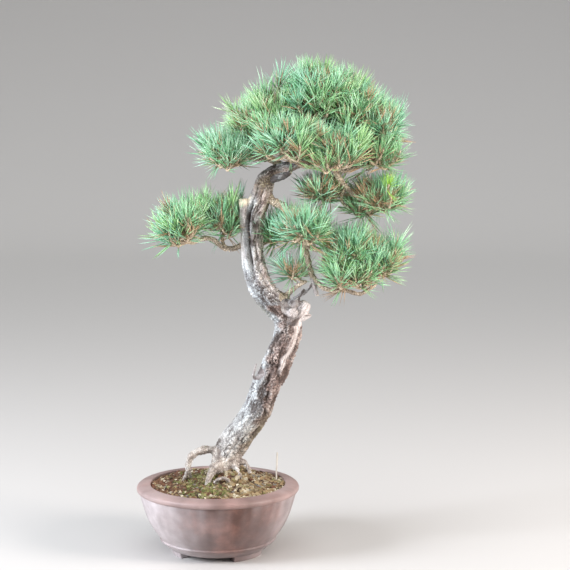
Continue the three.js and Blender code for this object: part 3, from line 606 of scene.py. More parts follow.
def wood_tubes(name, paths, roundness):
    """Round wood along each path, with closed ends, as one mesh."""
    curve = bpy.data.curves.new(name, "CURVE")
    curve.dimensions = "3D"
    curve.bevel_depth = 0.001
    curve.bevel_resolution = roundness
    curve.use_fill_caps = True
    for path in paths:
        spline = curve.splines.new("POLY")
        spline.points.add(len(path) - 1)
        spots = np.column_stack([place_in_pot(path[:, :3]), np.ones(len(path))])
        spline.points.foreach_set("co", spots.ravel())
        spline.points.foreach_set("radius", path[:, 3])
    made = bpy.data.objects.new(name, curve)
    bpy.context.collection.objects.link(made)
    bpy.ops.object.select_all(action="DESELECT")
    made.select_set(True)
    bpy.context.view_layer.objects.active = made
    bpy.ops.object.convert(target="MESH")
    return bpy.context.object


def smoothstep(low, high, value):
    share = np.clip((value - low) / (high - low), 0, 1)
    return share * share * (3 - 2 * share)


trunk_path = smooth_path(TRUNK, PATH_STEP_MM)
root_paths = [smooth_path(points, PATH_STEP_MM) for points in ROOTS]
dead_paths = [smooth_path(points, PATH_STEP_MM) for points in DEAD_WOOD.values()]
branch_paths = [smooth_path(points, BRANCH_STEP_MM) for points in BRANCHES.values()]
for n, path in enumerate(branch_paths):
    swell = [noise.noise(Vector((s / 7, n * 3.7, 0))) + 0.8 * max(0, sin(s / 2.6 + n)) ** 6
             for s in path[:, 4]]
    path[:, 3] *= 1 + 0.2 * np.array(swell)
for n, path in enumerate(root_paths):
    swell = [noise.noise(Vector((s / 10, n * 5.1, 2))) for s in path[:, 4]]
    path[:, 3] *= 1 + 0.3 * np.array(swell)
heavy_wood = wood_tubes("heavy_wood", [trunk_path, *root_paths, *dead_paths], 8)
bpy.ops.object.modifier_add(type="REMESH")
remesh = heavy_wood.modifiers[-1]
remesh.mode = "VOXEL"
remesh.voxel_size = VOXEL_MM / 1000
bpy.ops.object.modifier_apply(modifier=remesh.name)
bpy.ops.object.modifier_add(type="SMOOTH")
heavy_wood.modifiers[-1].iterations = 3
bpy.ops.object.modifier_apply(modifier=heavy_wood.modifiers[-1].name)
branches = wood_tubes("branches", branch_paths, 3)
wood = joined("trunk_roots_and_branches", [heavy_wood, branches])

# Every point of the wood finds the nearest point of a path, which gives how far along it lies,
# how far round from the front, and which part of the tree it belongs to.
paths = [trunk_path, *root_paths, *dead_paths, *branch_paths]
parts = ["trunk"] + ["root"] * len(ROOTS) + list(DEAD_WOOD) + ["branch"] * len(BRANCHES)
rows, fronts, sides, owner = [], [], [], []
for n, path in enumerate(paths):
    along = np.gradient(path[:, :3], axis=0)
    along /= np.linalg.norm(along, axis=1)[:, None]
    front = np.array([0.0, -1, 0]) if parts[n] != "branch" else np.array([0.1, -0.2, 1])
    for spot, way in zip(path, along):
        front = front - way * front.dot(way)
        front /= np.linalg.norm(front)
        rows.append(spot)
        fronts.append(front)
        sides.append(np.cross(way, front))
        owner.append(n)
rows, fronts, sides, owner = map(np.array, (rows, fronts, sides, owner))
tree = kdtree.KDTree(len(rows))
for n, row in enumerate(rows):
    tree.insert(row[:3], n)
tree.balance()
spots = points_of(wood.data)
spots_mm = (spots - (POT_AXIS, 0, 0)) * 1000
normals = np.empty(len(spots) * 3)
wood.data.vertex_normals.foreach_get("vector", normals)
normals = normals.reshape(-1, 3)


def nearest_row(spot):
    """Of the nearest path points, the one whose wood's surface is closest."""
    found = tree.find_n(spot, 24)
    return min(found, key=lambda hit: abs(hit[2] - rows[hit[1]][3]))[1]


def bump_at(value, middle, width):
    """1 at the middle, and soon 0 away from it."""
    return np.exp(-((value - middle) / width) ** 2)


def wrapped(angle):
    """The same angle, between half a turn back and half a turn on."""
    return (angle + pi) % (2 * pi) - pi


near = np.array([nearest_row(spot) for spot in spots_mm])
belongs = owner[near]
off = spots_mm - rows[near, :3]
around = np.arctan2((off * sides[near]).sum(1), (off * fronts[near]).sum(1))
radius, length = rows[near, 3], rows[near, 4]
share = length / trunk_path[-1, 4]
x, y, height = spots_mm.T
part = np.array(parts)[belongs]


def of(*names):
    """Which points belong to the parts with these names."""
    return np.isin(part, names)


is_trunk, is_root, is_branch = of("trunk"), of("root"), of("branch", "link")
is_dead = of(*DEAD_WOOD) & ~of("link")


def feature(name):
    """1 along a feature of the trunk and 0 beyond it, with soft ends."""
    begins, full, fades, gone = FEATURES_MM[name]
    return smoothstep(begins, full, height) * (1 - smoothstep(fades, gone, height)) * is_trunk


# The trunk's coarse ridges wind round it, and a deep groove splits its upper half in front. The
# wood to the left of the groove is a bare strand that goes on up to its own cut end.
rope = feature("winding ridges")
ridges = 0.05 * np.sin(5 * around + 16 * share) + 0.04 * np.sin(2 * around - 23 * share)
ridges -= 0.15 * rope * np.abs(np.cos(3.5 * around + 5 * share + 0.02 * x)) ** 6
from_groove = around - np.interp(height, [450, 500, 540, 565], [-0.05, -0.2, -0.42, -0.5])
first, second = feature("groove"), feature("second groove")
groove = first * (0.36 * bump_at(from_groove, -0.12, 0.34) + 0.5 * bump_at(from_groove, 0, 0.12))
groove += 0.4 * second * bump_at(from_groove, 0.62, 0.13)
# The dark of the groove, and of the cavity below it, is painted shade.
groove_shade = first * (1.1 * bump_at(from_groove, 0, 0.09) + 0.55 * bump_at(from_groove, -0.3, 0.2))
groove_shade += 0.6 * second * bump_at(from_groove, 0.62, 0.1)
cavity = bump_at(from_groove, 0, 0.3) * bump_at(height, 540, 9) * is_trunk
strand = feature("bare strand") * (1 - smoothstep(-0.3, -0.1, from_groove)) * smoothstep(-2.4, -1.9, around)
strand_edge = strand * (1 - smoothstep(-0.75, -0.45, from_groove))
# Broken fissures wind down the front of the lower trunk, from its left to its right.
fissure_at = np.interp(
    height, [170, 215, 270, 300, 330, 352, 375], [1.0, 0.6, 0.05, -0.5, -0.95, -0.7, -0.45])
wander = np.array([noise.noise(Vector((h / 11, 0, 7))) for h in height])
breaks = np.array([noise.noise(Vector((h / 17, a * 1.3, 3))) for h, a in zip(height, around)])
from_fissure = wrapped(around - fissure_at - 0.5 * wander)
fissure = feature("fissure") * smoothstep(-0.12, 0.18, breaks) * bump_at(
    from_fissure * radius, 0, 2.2 + 3 * np.clip(breaks, -0.2, 1))
from_other = wrapped(around - fissure_at - 0.75 + 0.7 * wander)
fissure += 0.8 * feature("other fissure") * smoothstep(0.0, 0.25, -breaks) * bump_at(
    from_other * radius, 0, 2.4)
# A strip without bark runs down from the stump, whose right side and spike are bare and bleached.
strip_at = np.interp(height, [285, 310, 345, 385], [0.36, 0.42, 0.62, 1.0])
strip_half = np.interp(height, [285, 320, 400], [0.12, 0.29, 0.5])
strip = feature("strip") * np.exp(-(wrapped(around - strip_at - 0.3 * wander) / strip_half) ** 4)
on_right = smoothstep(2, 7, x - np.interp(height, [345, 395], [112, 130]))
white = of("stump", "spike") * np.maximum(
    smoothstep(368, 384, height) * (0.4 + 0.6 * on_right), smoothstep(340, 350, height) * on_right)
knob_face = 0.7 * of("knob") * smoothstep(19, 23, -y)
bare = np.clip(0.85 * strip + 0.9 * white + 0.2 * strand + 0.5 * strand_edge + 0.9 * knob_face
               + 0.55 * of("bare_strand", "left_stub")
               + 0.35 * of("splinters", "lower_left_stub", "low_stub", "hollow_stub"), 0, 1)

# Bark lies in plates, and each plate in flakes. Their edges are where a point is as near to the next
# plate or flake as to its own. The seed makes them the same in each run.
noise.seed_set(NOISE_SEED)
plate, edge, flake, tone, fine_tone, lumps, grain, patch = (np.empty(len(spots)) for _ in range(8))
for n in range(len(spots)):
    r, s, a = radius[n], length[n], around[n]
    ring = Vector((r * cos(a), r * sin(a), s * (0.62 - 0.27 * rope[n]) + 40.0 * belongs[n]))
    big = ring / BARK_PLATE_MM
    big += 0.5 * noise.noise_vector(big * 1.3)
    far, cells = noise.voronoi(big)
    plate[n] = far[1] - far[0]
    tone[n] = noise.noise(cells[0] * 3.1) * 0.7 + 0.5
    small = ring / BARK_FLAKE_MM + 0.4 * noise.noise_vector(ring / 2.2)
    far, cells = noise.voronoi(small)
    flake[n] = far[1] - far[0]
    fine_tone[n] = noise.noise(cells[0] * 2.3 + Vector((9, 0, 0))) * 0.8 + 0.5
    lumps[n] = noise.fractal(Vector(spots_mm[n]) / BARK_LUMP_MM, 0.7, 2.1, 4)
    edge[n] = noise.noise(Vector(spots_mm[n]) / 16)
    patch[n] = noise.noise(Vector((r * cos(a) / 12, r * sin(a) / 12, s / 22 + 5)))
    grain[n] = noise.fractal(Vector((r * cos(a) * 0.4, r * sin(a) * 0.4, s * 0.05)), 0.9, 2.2, 3)
plate_edge = smoothstep(0.02, 0.3 + 0.2 * edge, plate)
flake_edge = smoothstep(0.0, 0.3, flake)
rough = np.where(is_branch, 0.3, np.where(is_root | is_dead, 0.45, np.clip(radius / 17, 0.35, 1)))
rough = rough * (1 - 0.12 * rope)
bark_relief = rough * (PLATE_RELIEF_MM * plate_edge * (0.3 + 1.1 * tone)
                       + FLAKE_RELIEF_MM * flake_edge * fine_tone + LUMP_RELIEF_MM * lumps - 2)
bare_relief = np.where(white > 0, 0.5, 0.8) * (1.1 * grain * np.clip(radius / 9, 0.35, 1) - 0.4)
relief = bark_relief * (1 - bare) + bare_relief * bare
relief += ridges * radius * is_trunk - GROOVE_DEPTH * radius * groove
relief -= CAVITY_DEPTH_MM * cavity + FISSURE_DEPTH_MM * fissure * (1 - bare)
wood.data.vertices.foreach_set("co", (spots + normals * relief[:, None] / 1000).ravel())

# What the bark's material reads: cracks are dark, and so is the painted shade in the groove, the cavity
# and the troughs of the ridges, under the knob and round its cut face. The fissures are dark, partly as
# their own dark bark and partly as painted shade. The tone runs from dark to pale.
pale_base = (1 - smoothstep(190, 250, height)) * is_trunk
# Painted shadow under the knob and under the stump, and painted shade round the knob's cut face.
painted_shadow_under_knob = of("trunk", "stump") * (y < -6) * (
    bump_at(x, 122, 6.5) * bump_at(height, 377, 7) + 0.7 * bump_at(x, 106, 3.5) * bump_at(height, 397, 9))
painted_shade_and_fissures = np.clip(0.95 * fissure + groove_shade + 0.7 * cavity + 0.95 * painted_shadow_under_knob
               + 0.6 * of("knob") * (1 - smoothstep(16, 21, -y))
               - 4 * np.minimum(ridges + 0.08, 0) * rope, 0, 1)
cracks = (1 - plate_edge) * np.clip(0.7 + 1.1 * edge, 0.1, 1)
cracks *= np.where(is_trunk, 1 - 0.1 * rope - 0.1 * pale_base, 0.5)
store(wood.data, "crack_and_shade", np.clip(np.maximum(cracks * (1 - bare), painted_shade_and_fissures * (1 - 0.6 * strip)), 0, 1))
right_side = np.clip(0.5 + 1.5 * np.sin(from_fissure + 0.25), 0, 1)
# A painted shade strip above the bend, and a painted shadow under the bend.
painted_shade_above_bend = feature("painted shade above the bend") * bump_at(
    x - np.interp(height, [402, 425, 446], [110, 96, 85]), 0, 7)
bend_left = feature("pale side at the bend") * (1 - smoothstep(-0.5, 0.15, around))
painted_shadow_below_bend = bump_at(x, 88, 9) * bump_at(height, 393, 9) * is_trunk
smooth_spot = np.exp(-(np.linalg.norm((spots_mm - (58, -12, 261)) / (7, 12, 13), axis=1)) ** 4) * is_trunk
tones = (0.5 * tone + 0.5 * fine_tone + 0.2 * (flake_edge - 0.7) - 0.5) * (1 - 0.15 * rope)
tones += 0.5 + 0.42 * patch * (1 - 0.4 * pale_base) + 0.1 * strand + 0.6 * smooth_spot
# On the winding ridges the right side is painted paler: painted light where the crown keeps the right lamp
# off it.
tones += rope * (0.15 + 0.15 * (around > 0.1)
                 + 0.2 * smoothstep(0.1, 0.4, around) * (1 - smoothstep(525, 550, height)))
# Painted shade above the bend and painted shadow under it darken the tone.
tones += 0.15 * bend_left - 0.28 * painted_shade_above_bend - 0.25 * painted_shadow_below_bend
# The foot of the trunk is painted paler on its left and darker on its right: painted light and shade of the
# left lamp.
tones += pale_base * (0.3 - 0.42 * right_side)
tones -= 0.3 * of("upper_stub") + 0.04 * of("snag_left", "snag_right")
# Among the roots, near the foot, the tone is darkened: painted shade.
tones += is_trunk * (0.04 * (height < 400) * right_side - 0.22 * bump_at(height, 134, 17)
                     - 0.07 * bump_at(height, 262, 40) - 0.04 * bump_at(height, 594, 26))
# Grey bark on the left and warm bark on the right: partly the bark's own colour, and partly painted light of
# the left lamp.
grey = np.where(height < 400, 1 - 0.85 * right_side,
                np.clip(0.55 - 0.35 * np.sin(around) - 0.1 * rope + 0.3 * strand, 0, 1))
grey += smooth_spot + 0.3 * bend_left - 0.4 * painted_shadow_below_bend - 0.5 * bump_at(height, 594, 26) - 0.35 * pale_base
mossy = sum(bump_at(wrapped(around - a), 0, wide) * bump_at(height, h, tall) for a, h, wide, tall in [
    (1.35, 535, 0.6, 26), (-1.5, 392, 0.5, 12), (1.1, 195, 0.7, 34), (0.4, 132, 0.9, 12),
    (0.2, 592, 1.2, 16)])
cut_ends = [("bare_strand", 17), ("upper_stub", 4), ("left_stub", 4), ("low_stub", 4)]
fresh_cut = sum(
    1 - smoothstep(reach * 0.55, reach, np.linalg.norm(spots_mm - np.array(DEAD_WOOD[name][-1][:3]), axis=1))
    for name, reach in cut_ends)
for key, numbers in {
        "tone": tones, "bare": bare, "grain": 0.5 + 0.5 * grain + 0.06 * white,
        "grey": np.where(is_trunk, np.clip(grey, 0, 1), 0.5), "mossy": np.clip(mossy * is_trunk, 0, 1),
        "twig": is_branch, "cut": np.clip(fresh_cut, 0, 1),
        "root": np.clip(is_root + 0.85 * is_trunk * (1 - smoothstep(150, 250, height)), 0, 1),
        # A dark spot on the front of the hollow stub: painted shade of its hole, which is not modelled.
        "hollow_shade": bump_at(np.linalg.norm(spots_mm - (170, -25.5, 481), axis=1), 0, 2.6)}.items():
    store(wood.data, key, numbers)
wood.data.update()
bpy.ops.object.shade_smooth()

# Old pine bark: dull grey plates with pale weathered flakes, over brown-black fissures, whose dark is
# partly painted shade. Bare wood is bleached and silky along its grain, and branches keep a tan young
# bark. Real scales are finer than 1 mm, and are drawn 2 mm wide so that they show. The darkest colour
# also serves as painted shade in the groove, the stub's hole and under the knob.
BARK_SCALE_MM, STAIN_MM = 1.923, 13.33
pine_bark, place = start_material("weathered pine bark and bare wood", Roughness=0.82)
read = {key: add_node(pine_bark, "Attribute", attribute_name=key)
        for key in ("crack_and_shade", "tone", "bare", "grain", "grey", "mossy", "twig", "root", "cut", "hollow_shade")}
scales = add_node(pine_bark, "TexNoise", {
    "Vector": place, "Scale": 1000 / BARK_SCALE_MM, "Detail": 6, "Roughness": 0.72})
stains = add_node(pine_bark, "TexNoise", {
    "Vector": place, "Scale": 1000 / STAIN_MM, "Detail": 5, "Roughness": 0.65})
warm_bark = add_node(pine_bark, "ValToRGB", (read["tone"],), stops=[
    (0.15, "#5d4b45"), (0.4, "#8c776f"), (0.62, "#bda89f"), (0.85, "#ebdcd4")])
# The grey bark's palest tone is tinted a cool bluish white, as a painted highlight of the left lamp.
grey_bark = add_node(pine_bark, "ValToRGB", (read["tone"],), stops=[
    (0.15, "#747273"), (0.4, "#a4a5a7"), (0.62, "#ccd0d2"), (0.85, "#f2f8fa")])
root_bark = add_node(pine_bark, "ValToRGB", (stains,), stops=[
    (0.35, "#8a7f77"), (0.5, "#cfc3b7"), (0.62, "#fbf6ee")])
young_bark = add_node(pine_bark, "ValToRGB", (scales,), stops=[
    (0.35, "#8a7a6b"), (0.5, "#c8b69e"), (0.65, "#f1e6d4")])
grain_colour = add_node(pine_bark, "ValToRGB", (read["grain"],), stops=[
    (0.25, "#978a86"), (0.42, "#cbc0bc"), (0.62, "#f2eae7")])
grey_share = add_node(pine_bark, "Math", (read["grey"], stains), operation="ADD")
grey_spread = add_node(pine_bark, "MapRange", (grey_share, 0.65, 1.15))
root_share = add_node(pine_bark, "MapRange", (read["root"], 0, 1, 0, 0.75))
moss_share = add_node(pine_bark, "MapRange", (scales, 0.4, 0.6, 0.1, 0.75))
moss_here = add_node(pine_bark, "Math", (moss_share, read["mossy"]), operation="MULTIPLY")
speckle = add_node(pine_bark, "MapRange", (scales, 0.36, 0.64, 0.48, 1.3))
speckle_share = add_node(pine_bark, "MapRange", (read["bare"], 0, 1, 1, 0.5))
# Cracks take the dark colour, and so do the painted shade and the painted shade of the stub's hole.
crack_and_shade_share = add_node(pine_bark, "Math", (read["crack_and_shade"], read["hollow_shade"]), operation="MAXIMUM")
colour = warm_bark
for coat_share, coat, way in [
        (grey_spread, grey_bark, "MIX"), (root_share, root_bark, "MIX"),
        (moss_here, linear("#8f8b5e"), "MIX"), (read["twig"], young_bark, "MIX"),
        (read["bare"], grain_colour, "MIX"),
        (speckle_share, speckle, "MULTIPLY"), (read["cut"], linear("#fff1da"), "MIX"),
        (crack_and_shade_share, linear("#43362f"), "MIX")]:
    colour = add_node(pine_bark, "Mix", {0: coat_share, 6: colour, 7: coat}, blend_type=way)
scale_bump = add_node(pine_bark, "Bump", {"Height": scales, "Strength": 1, "Distance": 0.0013})
finish_material(pine_bark, colour, scale_bump)
wood.data.materials.clear()
wood.data.materials.append(pine_bark)
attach(wood, "root")
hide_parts("trunk")


# Sprays: the tree's green growth, one for each branch end. A stem rises to a dome of woody shoots,
# and waxy needles grow in pairs all round the last 1 to 2.5 cm of each shoot, up to its bud.
# Of each: its middle, its half sizes and its number of shoots, in mm from the pot's axis.
SPRAYS = {
    "crown_apex": ((161, 0, 724), (58, 56, 46), 24), "crown_left_high": ((84, 4, 687), (44, 48, 40), 16),
    "crown_left_low": ((17, 0, 637), (36, 42, 15), 10), "crown_left_back": ((60, 60, 662), (44, 36, 27), 10),
    "crown_front": ((113, -50, 654), (48, 34, 31), 13),
    "crown_front_right": ((187, -50, 640), (42, 34, 27), 11),
    "crown_right_high": ((215, 0, 701), (50, 50, 41), 16), "crown_right": ((257, 0, 676), (28, 44, 29), 10),
    "crown_right_low": ((245, -14, 636), (36, 44, 20), 9), "crown_back": ((150, 62, 678), (58, 42, 36), 14),
    "crown_back_right": ((222, 60, 658), (44, 36, 28), 10), "shelf_right": ((257, 12, 569), (34, 36, 15), 9),
    "shelf_middle": ((165, 10, 577), (30, 30, 9), 6), "shelf_low": ((232, 18, 553), (28, 26, 8), 5),
    "left_tip": ((-50, 4, 522), (40, 40, 33), 15), "left_inner": ((13, 27, 530), (30, 32, 29), 10),
    "middle_front": ((138, -30, 517), (36, 28, 17), 8), "middle_back": ((132, 32, 514), (34, 26, 14), 5),
    "middle_inner": ((90, 32, 506), (18, 20, 15), 3), "low_upper": ((207, -8, 484), (38, 42, 19), 13),
    "low_tip": ((256, -4, 466), (30, 38, 29), 11), "low_bottom": ((211, -14, 446), (39, 40, 18), 9),
    "low_inner": ((119, 2, 447), (10, 14, 6), 2)}
NEEDLE_MM = 36
NEEDLE_THICK_MM = 1.3
PAIRS_ON_SHOOT = 18
LEAFY_MM = 24
SIDE_SHOOTS = 3
PAIRS_ON_SIDE_SHOOT = 12
LEAFY_ON_SIDE_MM = 15
LIFT = 0.25
DRY_SHARE, DRY_SHARE_ON_SHELF = 0.2, 0.45
# Single shoots: young ones, with how fresh they are, and ones that reach beyond their dome.
YOUNG_SHOOTS = {"shelf_right": (267, -34, 587, 1), "low_upper": (171, -24, 494, 0.5),
                "middle_inner": (93, 22, 498, 0.4)}
FAR_SHOOTS = {"crown_left_high": [(27, 0, 702), (76, -10, 732), (103, -10, 754)],
              "crown_apex": [(149, 0, 764), (171, 0, 760)], "crown_right_high": [(212, 0, 750)],
              "left_inner": [(38, 24, 566)], "shelf_right": [(288, -6, 566)]}
# No needle reaches past these, and those of one spray end short of the trunk.
NEEDLE_ENDS_MM = np.array([317, 136, 797])
SHORT_OF_TRUNK_MM = {"left_inner": 46}
SLOPE = {"left_tip": 0.23, "left_inner": -0.1}
LIMB_BELOW = {"left_tip": [(-34, 6, 499, 3.2), (-50, 0, 498, 3), (-66, -6, 501, 2.7), (-80, -4, 503, 2.2)],
              "low_upper": [(196, -14, 478, 3), (212, -22, 470, 2.8), (230, -24, 471, 2.2)]}

needle_shapes = []
for bend, spread in [(0.0012, 5), (0.002, 8), (0.0006, 3.5), (0.0028, 6)]:
    needles = []
    for way in (-1, 1):
        bpy.ops.object.select_all(action="DESELECT")
        bpy.ops.mesh.primitive_cone_add(
            vertices=3, radius1=NEEDLE_THICK_MM / 2000, depth=NEEDLE_MM / 1000, location=(0, 0, 0))
        needle = bpy.context.object
        bpy.ops.object.mode_set(mode="EDIT")
        bpy.ops.mesh.select_all(action="SELECT")
        bpy.ops.mesh.bisect(plane_co=(0, 0, 0.002), plane_no=(0, 0, 1))
        bpy.ops.object.mode_set(mode="OBJECT")
        for corner in needle.data.vertices:
            if abs(corner.co.z) < 0.01:
                corner.co.x *= 2.25
                corner.co.y *= 2.25
            along = corner.co.z * 1000 / NEEDLE_MM + 0.5
            lean = radians(spread) * way
            up = NEEDLE_MM / 1000 * along
            corner.co = (corner.co.x + sin(lean) * up + way * bend * (along - along ** 2),
                         corner.co.y + bend * along ** 2 * 0.6, up * cos(lean))
        needles.append(needle)
    needle_shapes.append(joined("needle_pair", needles))
    store(needle_shapes[-1].data, "along", points_of(needle_shapes[-1].data)[:, 2] * 1000 / NEEDLE_MM)
bpy.ops.object.select_all(action="DESELECT")
bpy.ops.mesh.primitive_uv_sphere_add(segments=6, ring_count=4, radius=0.0016, location=(0, 0, 0))
bud_shape = bpy.context.object
for corner in bud_shape.data.vertices:
    corner.co.z = (corner.co.z + 0.0012) * 2.2
    if corner.co.z > 0.0055:
        corner.co.z += 0.0012


def pointing(directions, rolls):
    """Turns that bring the upright to each direction, rolled about it."""
    aid = np.where(np.abs(directions[:, 2:]) < 0.9, [[0.0, 0, 1]], [[1.0, 0, 0]])
    first = np.cross(aid, directions)
    first /= np.linalg.norm(first, axis=1)[:, None]
    second = np.cross(directions, first)
    c, s = np.cos(rolls)[:, None], np.sin(rolls)[:, None]
    return np.stack([first * c + second * s, second * c - first * s, directions], 2)


def unit(vectors):
    return vectors / np.linalg.norm(vectors, axis=-1, keepdims=True)


def chance(i, k):
    """For a shoot of the present spray, a number from 0 to 1 that is always the same."""
    return float(draw(i, number + k))


def grow(points, pairs, leafy, cast, fresh=0, lift=LIFT):
    """Grows a shoot of the present spray along points with a radius, with needle pairs on the last
    stretch of it. Its cast is from blue-green to yellow-green, and it is 1 fresh or -1 dry."""
    runs.append((smooth_path(points, 5), pairs, leafy, cast, fresh, lift))
    return runs[-1][0]


# Pine needles: stiff and waxy, with a soft shine. Some shoots are a cool grey-green and some a
# yellow-green, dead needles are tan, and a tan sheath holds the foot of each pair.
pine_needle, place = start_material("waxy pine needle", Roughness=0.36, IOR=1.47)
of_needle = {key: add_node(pine_needle, "Attribute", attribute_name=key)
             for key in ("tone", "young", "cast", "along")}
needle_colour = add_node(pine_needle, "ValToRGB", (of_needle["tone"],), stops=[
    (0.0, "#c0a180"), (0.06, "#4f7e52"), (0.34, "#80bd82"), (0.64, "#b2e2b4"), (1.0, "#ecffe8")])
cast_colour = add_node(pine_needle, "ValToRGB", (of_needle["cast"],), stops=[
    (0.0, "#86d2c0"), (0.5, "#98d3a2"), (1.0, "#b4d67a")])
green_share = add_node(pine_needle, "MapRange", (of_needle["tone"], 0.0, 0.1, 0, 0.42))
sheath_share = add_node(pine_needle, "MapRange", (of_needle["along"], 0.1, 0.26, 0.85, 0))
colour = needle_colour
for coat_share, coat in [(green_share, cast_colour), (of_needle["young"], linear("#aee068")),
                         (sheath_share, linear("#b8a585"))]:
    colour = add_node(pine_needle, "Mix", {0: coat_share, 6: colour, 7: coat})
finish_material(pine_needle, colour)

# Young pine twigs: tan to pink-brown, scaly from the stubs of shed needles, which are about 2 mm wide.
STUB_MM = 2.083
young_twig, place = start_material("scaly young pine twig", Roughness=0.8)
stubs = add_node(young_twig, "TexNoise", {
    "Vector": place, "Scale": 1000 / STUB_MM, "Detail": 4, "Roughness": 0.65})
twig_colour = add_node(young_twig, "ValToRGB", (stubs,), stops=[
    (0.35, "#9d8872"), (0.5, "#cbb79c"), (0.66, "#ecdfcb")])
stub_bump = add_node(young_twig, "Bump", {"Height": stubs, "Strength": 0.8, "Distance": 0.0008})
finish_material(young_twig, twig_colour, stub_bump)

for number, (name, (middle, half, shoots)) in enumerate(SPRAYS.items()):
    middle, half = np.array(middle, float), np.array(half, float)
    branch = trunk_path if name == "crown_apex" else branch_paths[list(BRANCHES).index(name)]
    along = unit(branch[-1, :3] - branch[-3, :3])
    start = branch[-1, :3] - 1.5 * along
    hub = middle - (0, 0, 0.7 * half[2])
    bend = start + along * np.linalg.norm(hub - start) / 3
    stem_radius = (TRUNK if name == "crown_apex" else BRANCHES[name])[-1][3]
    stem = smooth_path([(*start, stem_radius), (*bend, stem_radius * 0.92), (*hub, 2.6)], 6)
    runs, leader_tip = [], None
    for i in range(shoots):
        # Each limb runs outwards low down, and its end turns up towards the light.
        rise = 1 - (i + 0.5) / shoots * 1.34
        wide = (1 - rise * rise) ** 0.5
        turn = i * GOLDEN_TURN + number
        out = np.array([wide * cos(turn), wide * sin(turn), rise if rise > 0 else 1.4 * rise]) * half
        tip = middle + out * (0.62 + 0.31 * chance(i, 0)) - (0, 0, 2)
        tip[2] += SLOPE.get(name, 0) * (tip[0] - middle[0])
        leader_tip = tip if i == 0 else leader_tip
        base = hub if i == 0 else hub + (leader_tip - hub) * 0.55 * (1 - i / shoots)
        flat = (tip - base) * (1, 1, 0)
        reach = np.linalg.norm(flat)
        inward = flat / max(reach, 1) * min(6 + 6 * wide, 0.6 * reach)
        knee = tip - inward - (0, 0, min(15 + 5 * chance(i, 49), np.linalg.norm(tip - base) * 0.6))
        sway = 6 * (np.array([chance(i, k) for k in (50, 51, 52)]) - 0.5)
        middle_of_limb = (base + knee) / 2 - (0, 0, 0.05 * reach) + sway
        cast = chance(i, 70)
        shoot = grow([(*base, 2.8), (*middle_of_limb, 2.4), (*knee, 2), (*tip, 1.5)],
                     PAIRS_ON_SHOOT, LEAFY_MM, cast)
        for k in range(SIDE_SHOOTS):
            row = shoot[int(len(shoot) * (0.3 + 0.2 * k))]
            roll = 2 * pi * (chance(i, 60) + k / SIDE_SHOOTS)
            aside = unit(np.array([cos(roll), sin(roll), 0]) + 0.7 * flat / max(reach, 1))
            half_way = row[:3] + aside * 9 + (0, 0, 2)
            far = row[:3] + aside * (12 + 8 * chance(i, 61 + k)) + (0, 0, 12 + 8 * chance(i, 65 + k))
            dry = chance(i, 91 + k) < (DRY_SHARE_ON_SHELF if name.startswith("shelf") else DRY_SHARE)
            grow([(*row[:3], 1.9), (*half_way, 1.7), (*far, 1.4)], PAIRS_ON_SIDE_SHOOT, LEAFY_ON_SIDE_MM,
                 cast + 0.3 * chance(i, 71 + k) - 0.15, -1 if dry else 0)
    if name in LIMB_BELOW:
        grow(LIMB_BELOW[name], 14, 18, 0.4, lift=0.85)
    for n, tip in enumerate(FAR_SHOOTS.get(name, [])):
        half_way = tip + (hub - tip) * (0.3, 0.3, 0) - (0, 0, 14)
        grow([(*hub, 2.2), (*half_way, 1.9), (*tip, 1.5)], PAIRS_ON_SHOOT, 22, chance(n, 95), lift=0.3)
    if name in YOUNG_SHOOTS:
        *tip, freshness = YOUNG_SHOOTS[name]
        half_way = (hub + tip) / 2 - (0, 0, 4)
        grow([(*hub, 2), (*half_way, 1.8), (*tip, 1.5)], 16, 10, 0.8, freshness, 0.6)
    # The sprays on the left of the crown are painted paler: painted light on that side of the crown.
    painted_light_lift = 0.13 if name.startswith("crown_left") else 0.02
    spots, ways, sizes, stored = [], [], [], {"tone": [], "cast": [], "young": []}
    for n, (twig, pairs, leafy, cast, freshness, lift) in enumerate(runs):
        k = np.arange(pairs)
        seed = 131 * n + 977 * number
        to_tip = (k + 0.5) / pairs
        at = twig[-1, 4] - leafy * (1 - to_tip)
        spots.append(np.column_stack([np.interp(at, twig[:, 4], twig[:, c]) for c in range(3)]))
        way = unit(np.column_stack([np.interp(at, twig[:, 4], np.gradient(twig[:, c])) for c in range(3)]))
        lean = np.radians(60 - 42 * to_tip ** 1.2 + 46 * (draw(k, seed) - 0.5))
        frames = pointing(way, k * GOLDEN_TURN + 0.7 * draw(k, seed + 1))
        ahead = frames[:, :, 2] * np.cos(lean)[:, None] + frames[:, :, 0] * np.sin(lean)[:, None]
        ahead[:, 2] += np.where(draw(k, seed + 5) < 0.1, -0.4, lift)
        ways.append(unit(ahead))
        old = (draw(k, seed + 2) < 0.2) & (to_tip < 0.5) | (freshness < 0)
        stored["tone"].append(np.where(old, 0.0, painted_light_lift + 0.1 + 0.25 * to_tip + 0.6 * draw(k, seed + 3)))
        stored["cast"].append(np.full(pairs, cast))
        stored["young"].append(np.full(pairs, max(freshness, 0)))
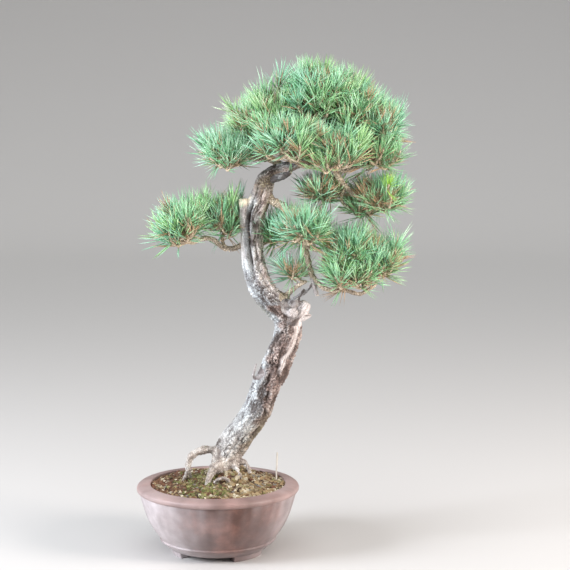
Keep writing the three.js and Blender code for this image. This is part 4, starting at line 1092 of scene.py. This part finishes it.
        # A needle is 30 to 45 mm long, and those of fresh and dry shoots are shorter.
        size = (30 + 15 * draw(k, seed + 4)) / NEEDLE_MM
        size *= {1: 0.8, -1: 0.75}.get(freshness, 0.9 + 0.25 * chance(n, 77))
        ends = NEEDLE_ENDS_MM.copy()
        ends[0] = SHORT_OF_TRUNK_MM.get(name, ends[0])
        for axis in range(3):
            room = ends[axis] - 9 * draw(k, seed + 6) - spots[-1][:, axis]
            fits = np.maximum(room / np.maximum(NEEDLE_MM * ways[-1][:, axis], 0.1), 0.4)
            size = np.where(ways[-1][:, axis] > 0.05, np.minimum(size, fits), size)
        sizes.append(size)
    order = np.arange(sum(map(len, spots)))
    needles = scattered(
        name + "_needles", [shape.data for shape in needle_shapes], order % len(needle_shapes),
        place_in_pot(np.vstack(spots)),
        pointing(np.vstack(ways), draw(order, number + 80) * 2 * pi), np.concatenate(sizes),
        {key: np.concatenate(numbers) for key, numbers in stored.items()}, ["along"])
    needles.data.materials.append(pine_needle)
    ends = np.array([twig[-1, :3] for twig, *_ in runs])
    lasts = unit(np.array([twig[-1, :3] - twig[-2, :3] for twig, *_ in runs]))
    none = np.zeros(len(runs), int)
    buds = scattered(name + "_buds", [bud_shape.data], none, place_in_pot(ends), pointing(lasts, none),
                     0.6 + 0.6 * draw(np.arange(len(runs)), number), {})
    buds.data.materials.append(young_twig)
    stems = wood_tubes(name + "_twigs", [stem, *[twig for twig, *_ in runs]], 1)
    stems.data.materials.clear()
    stems.data.materials.append(young_twig)
    spray = joined(name + "_spray", [stems, needles, buds])
    bpy.ops.object.shade_smooth()
    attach(spray, "root")
    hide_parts(name)
for shape in [*needle_shapes, bud_shape]:
    bpy.data.objects.remove(shape)


# Stake: a thin pale stick of split bamboo, pushed into the soil near the rim. Its top is worn flat
# from handling, and it bends a little.
STAKE = [(94, 20, 72, 1.1), (94, 20, 104, 1.2), (93.5, 20, 124, 1.2), (94.5, 20, 140, 1.5),
         (95, 20, 156, 1.3)]
WORN_FROM_MM = 136
stake = wood_tubes("stake_stick", [smooth_path(STAKE, 2)], 2)
for corner in stake.data.vertices:
    high = corner.co.z * 1000
    if high > WORN_FROM_MM:
        corner.co.y = 0.02 + (corner.co.y - 0.02) * 0.65
    corner.co.x += 0.0002 * noise.noise(Vector((high / 3, 0, 0)))
# Weathered split bamboo: dull and greyed, streaked by its fibres. Real fibres are about 0.2 mm
# wide, and are drawn coarser so that they show.
FIBRE_MM = (0.5556, 0.5556, 11.11)
split_bamboo, place = start_material("weathered split bamboo", Roughness=0.7)
fibre_place = add_node(split_bamboo, "Mapping", {"Vector": place, "Scale": [1000 / mm for mm in FIBRE_MM]})
fibres = add_node(split_bamboo, "TexNoise", {"Vector": fibre_place, "Scale": 1, "Detail": 3})
fibre_colour = add_node(split_bamboo, "ValToRGB", (fibres,), stops=[(0.3, "#b5ada0"), (0.6, "#dedad0")])
fibre_bump = add_node(split_bamboo, "Bump", {"Height": fibres, "Strength": 0.4, "Distance": 0.0002})
finish_material(split_bamboo, fibre_colour, fibre_bump)
stake.data.materials.clear()
stake.data.materials.append(split_bamboo)
bpy.ops.object.shade_smooth_by_angle(angle=radians(40))
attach(stake, "root")
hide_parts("stake")
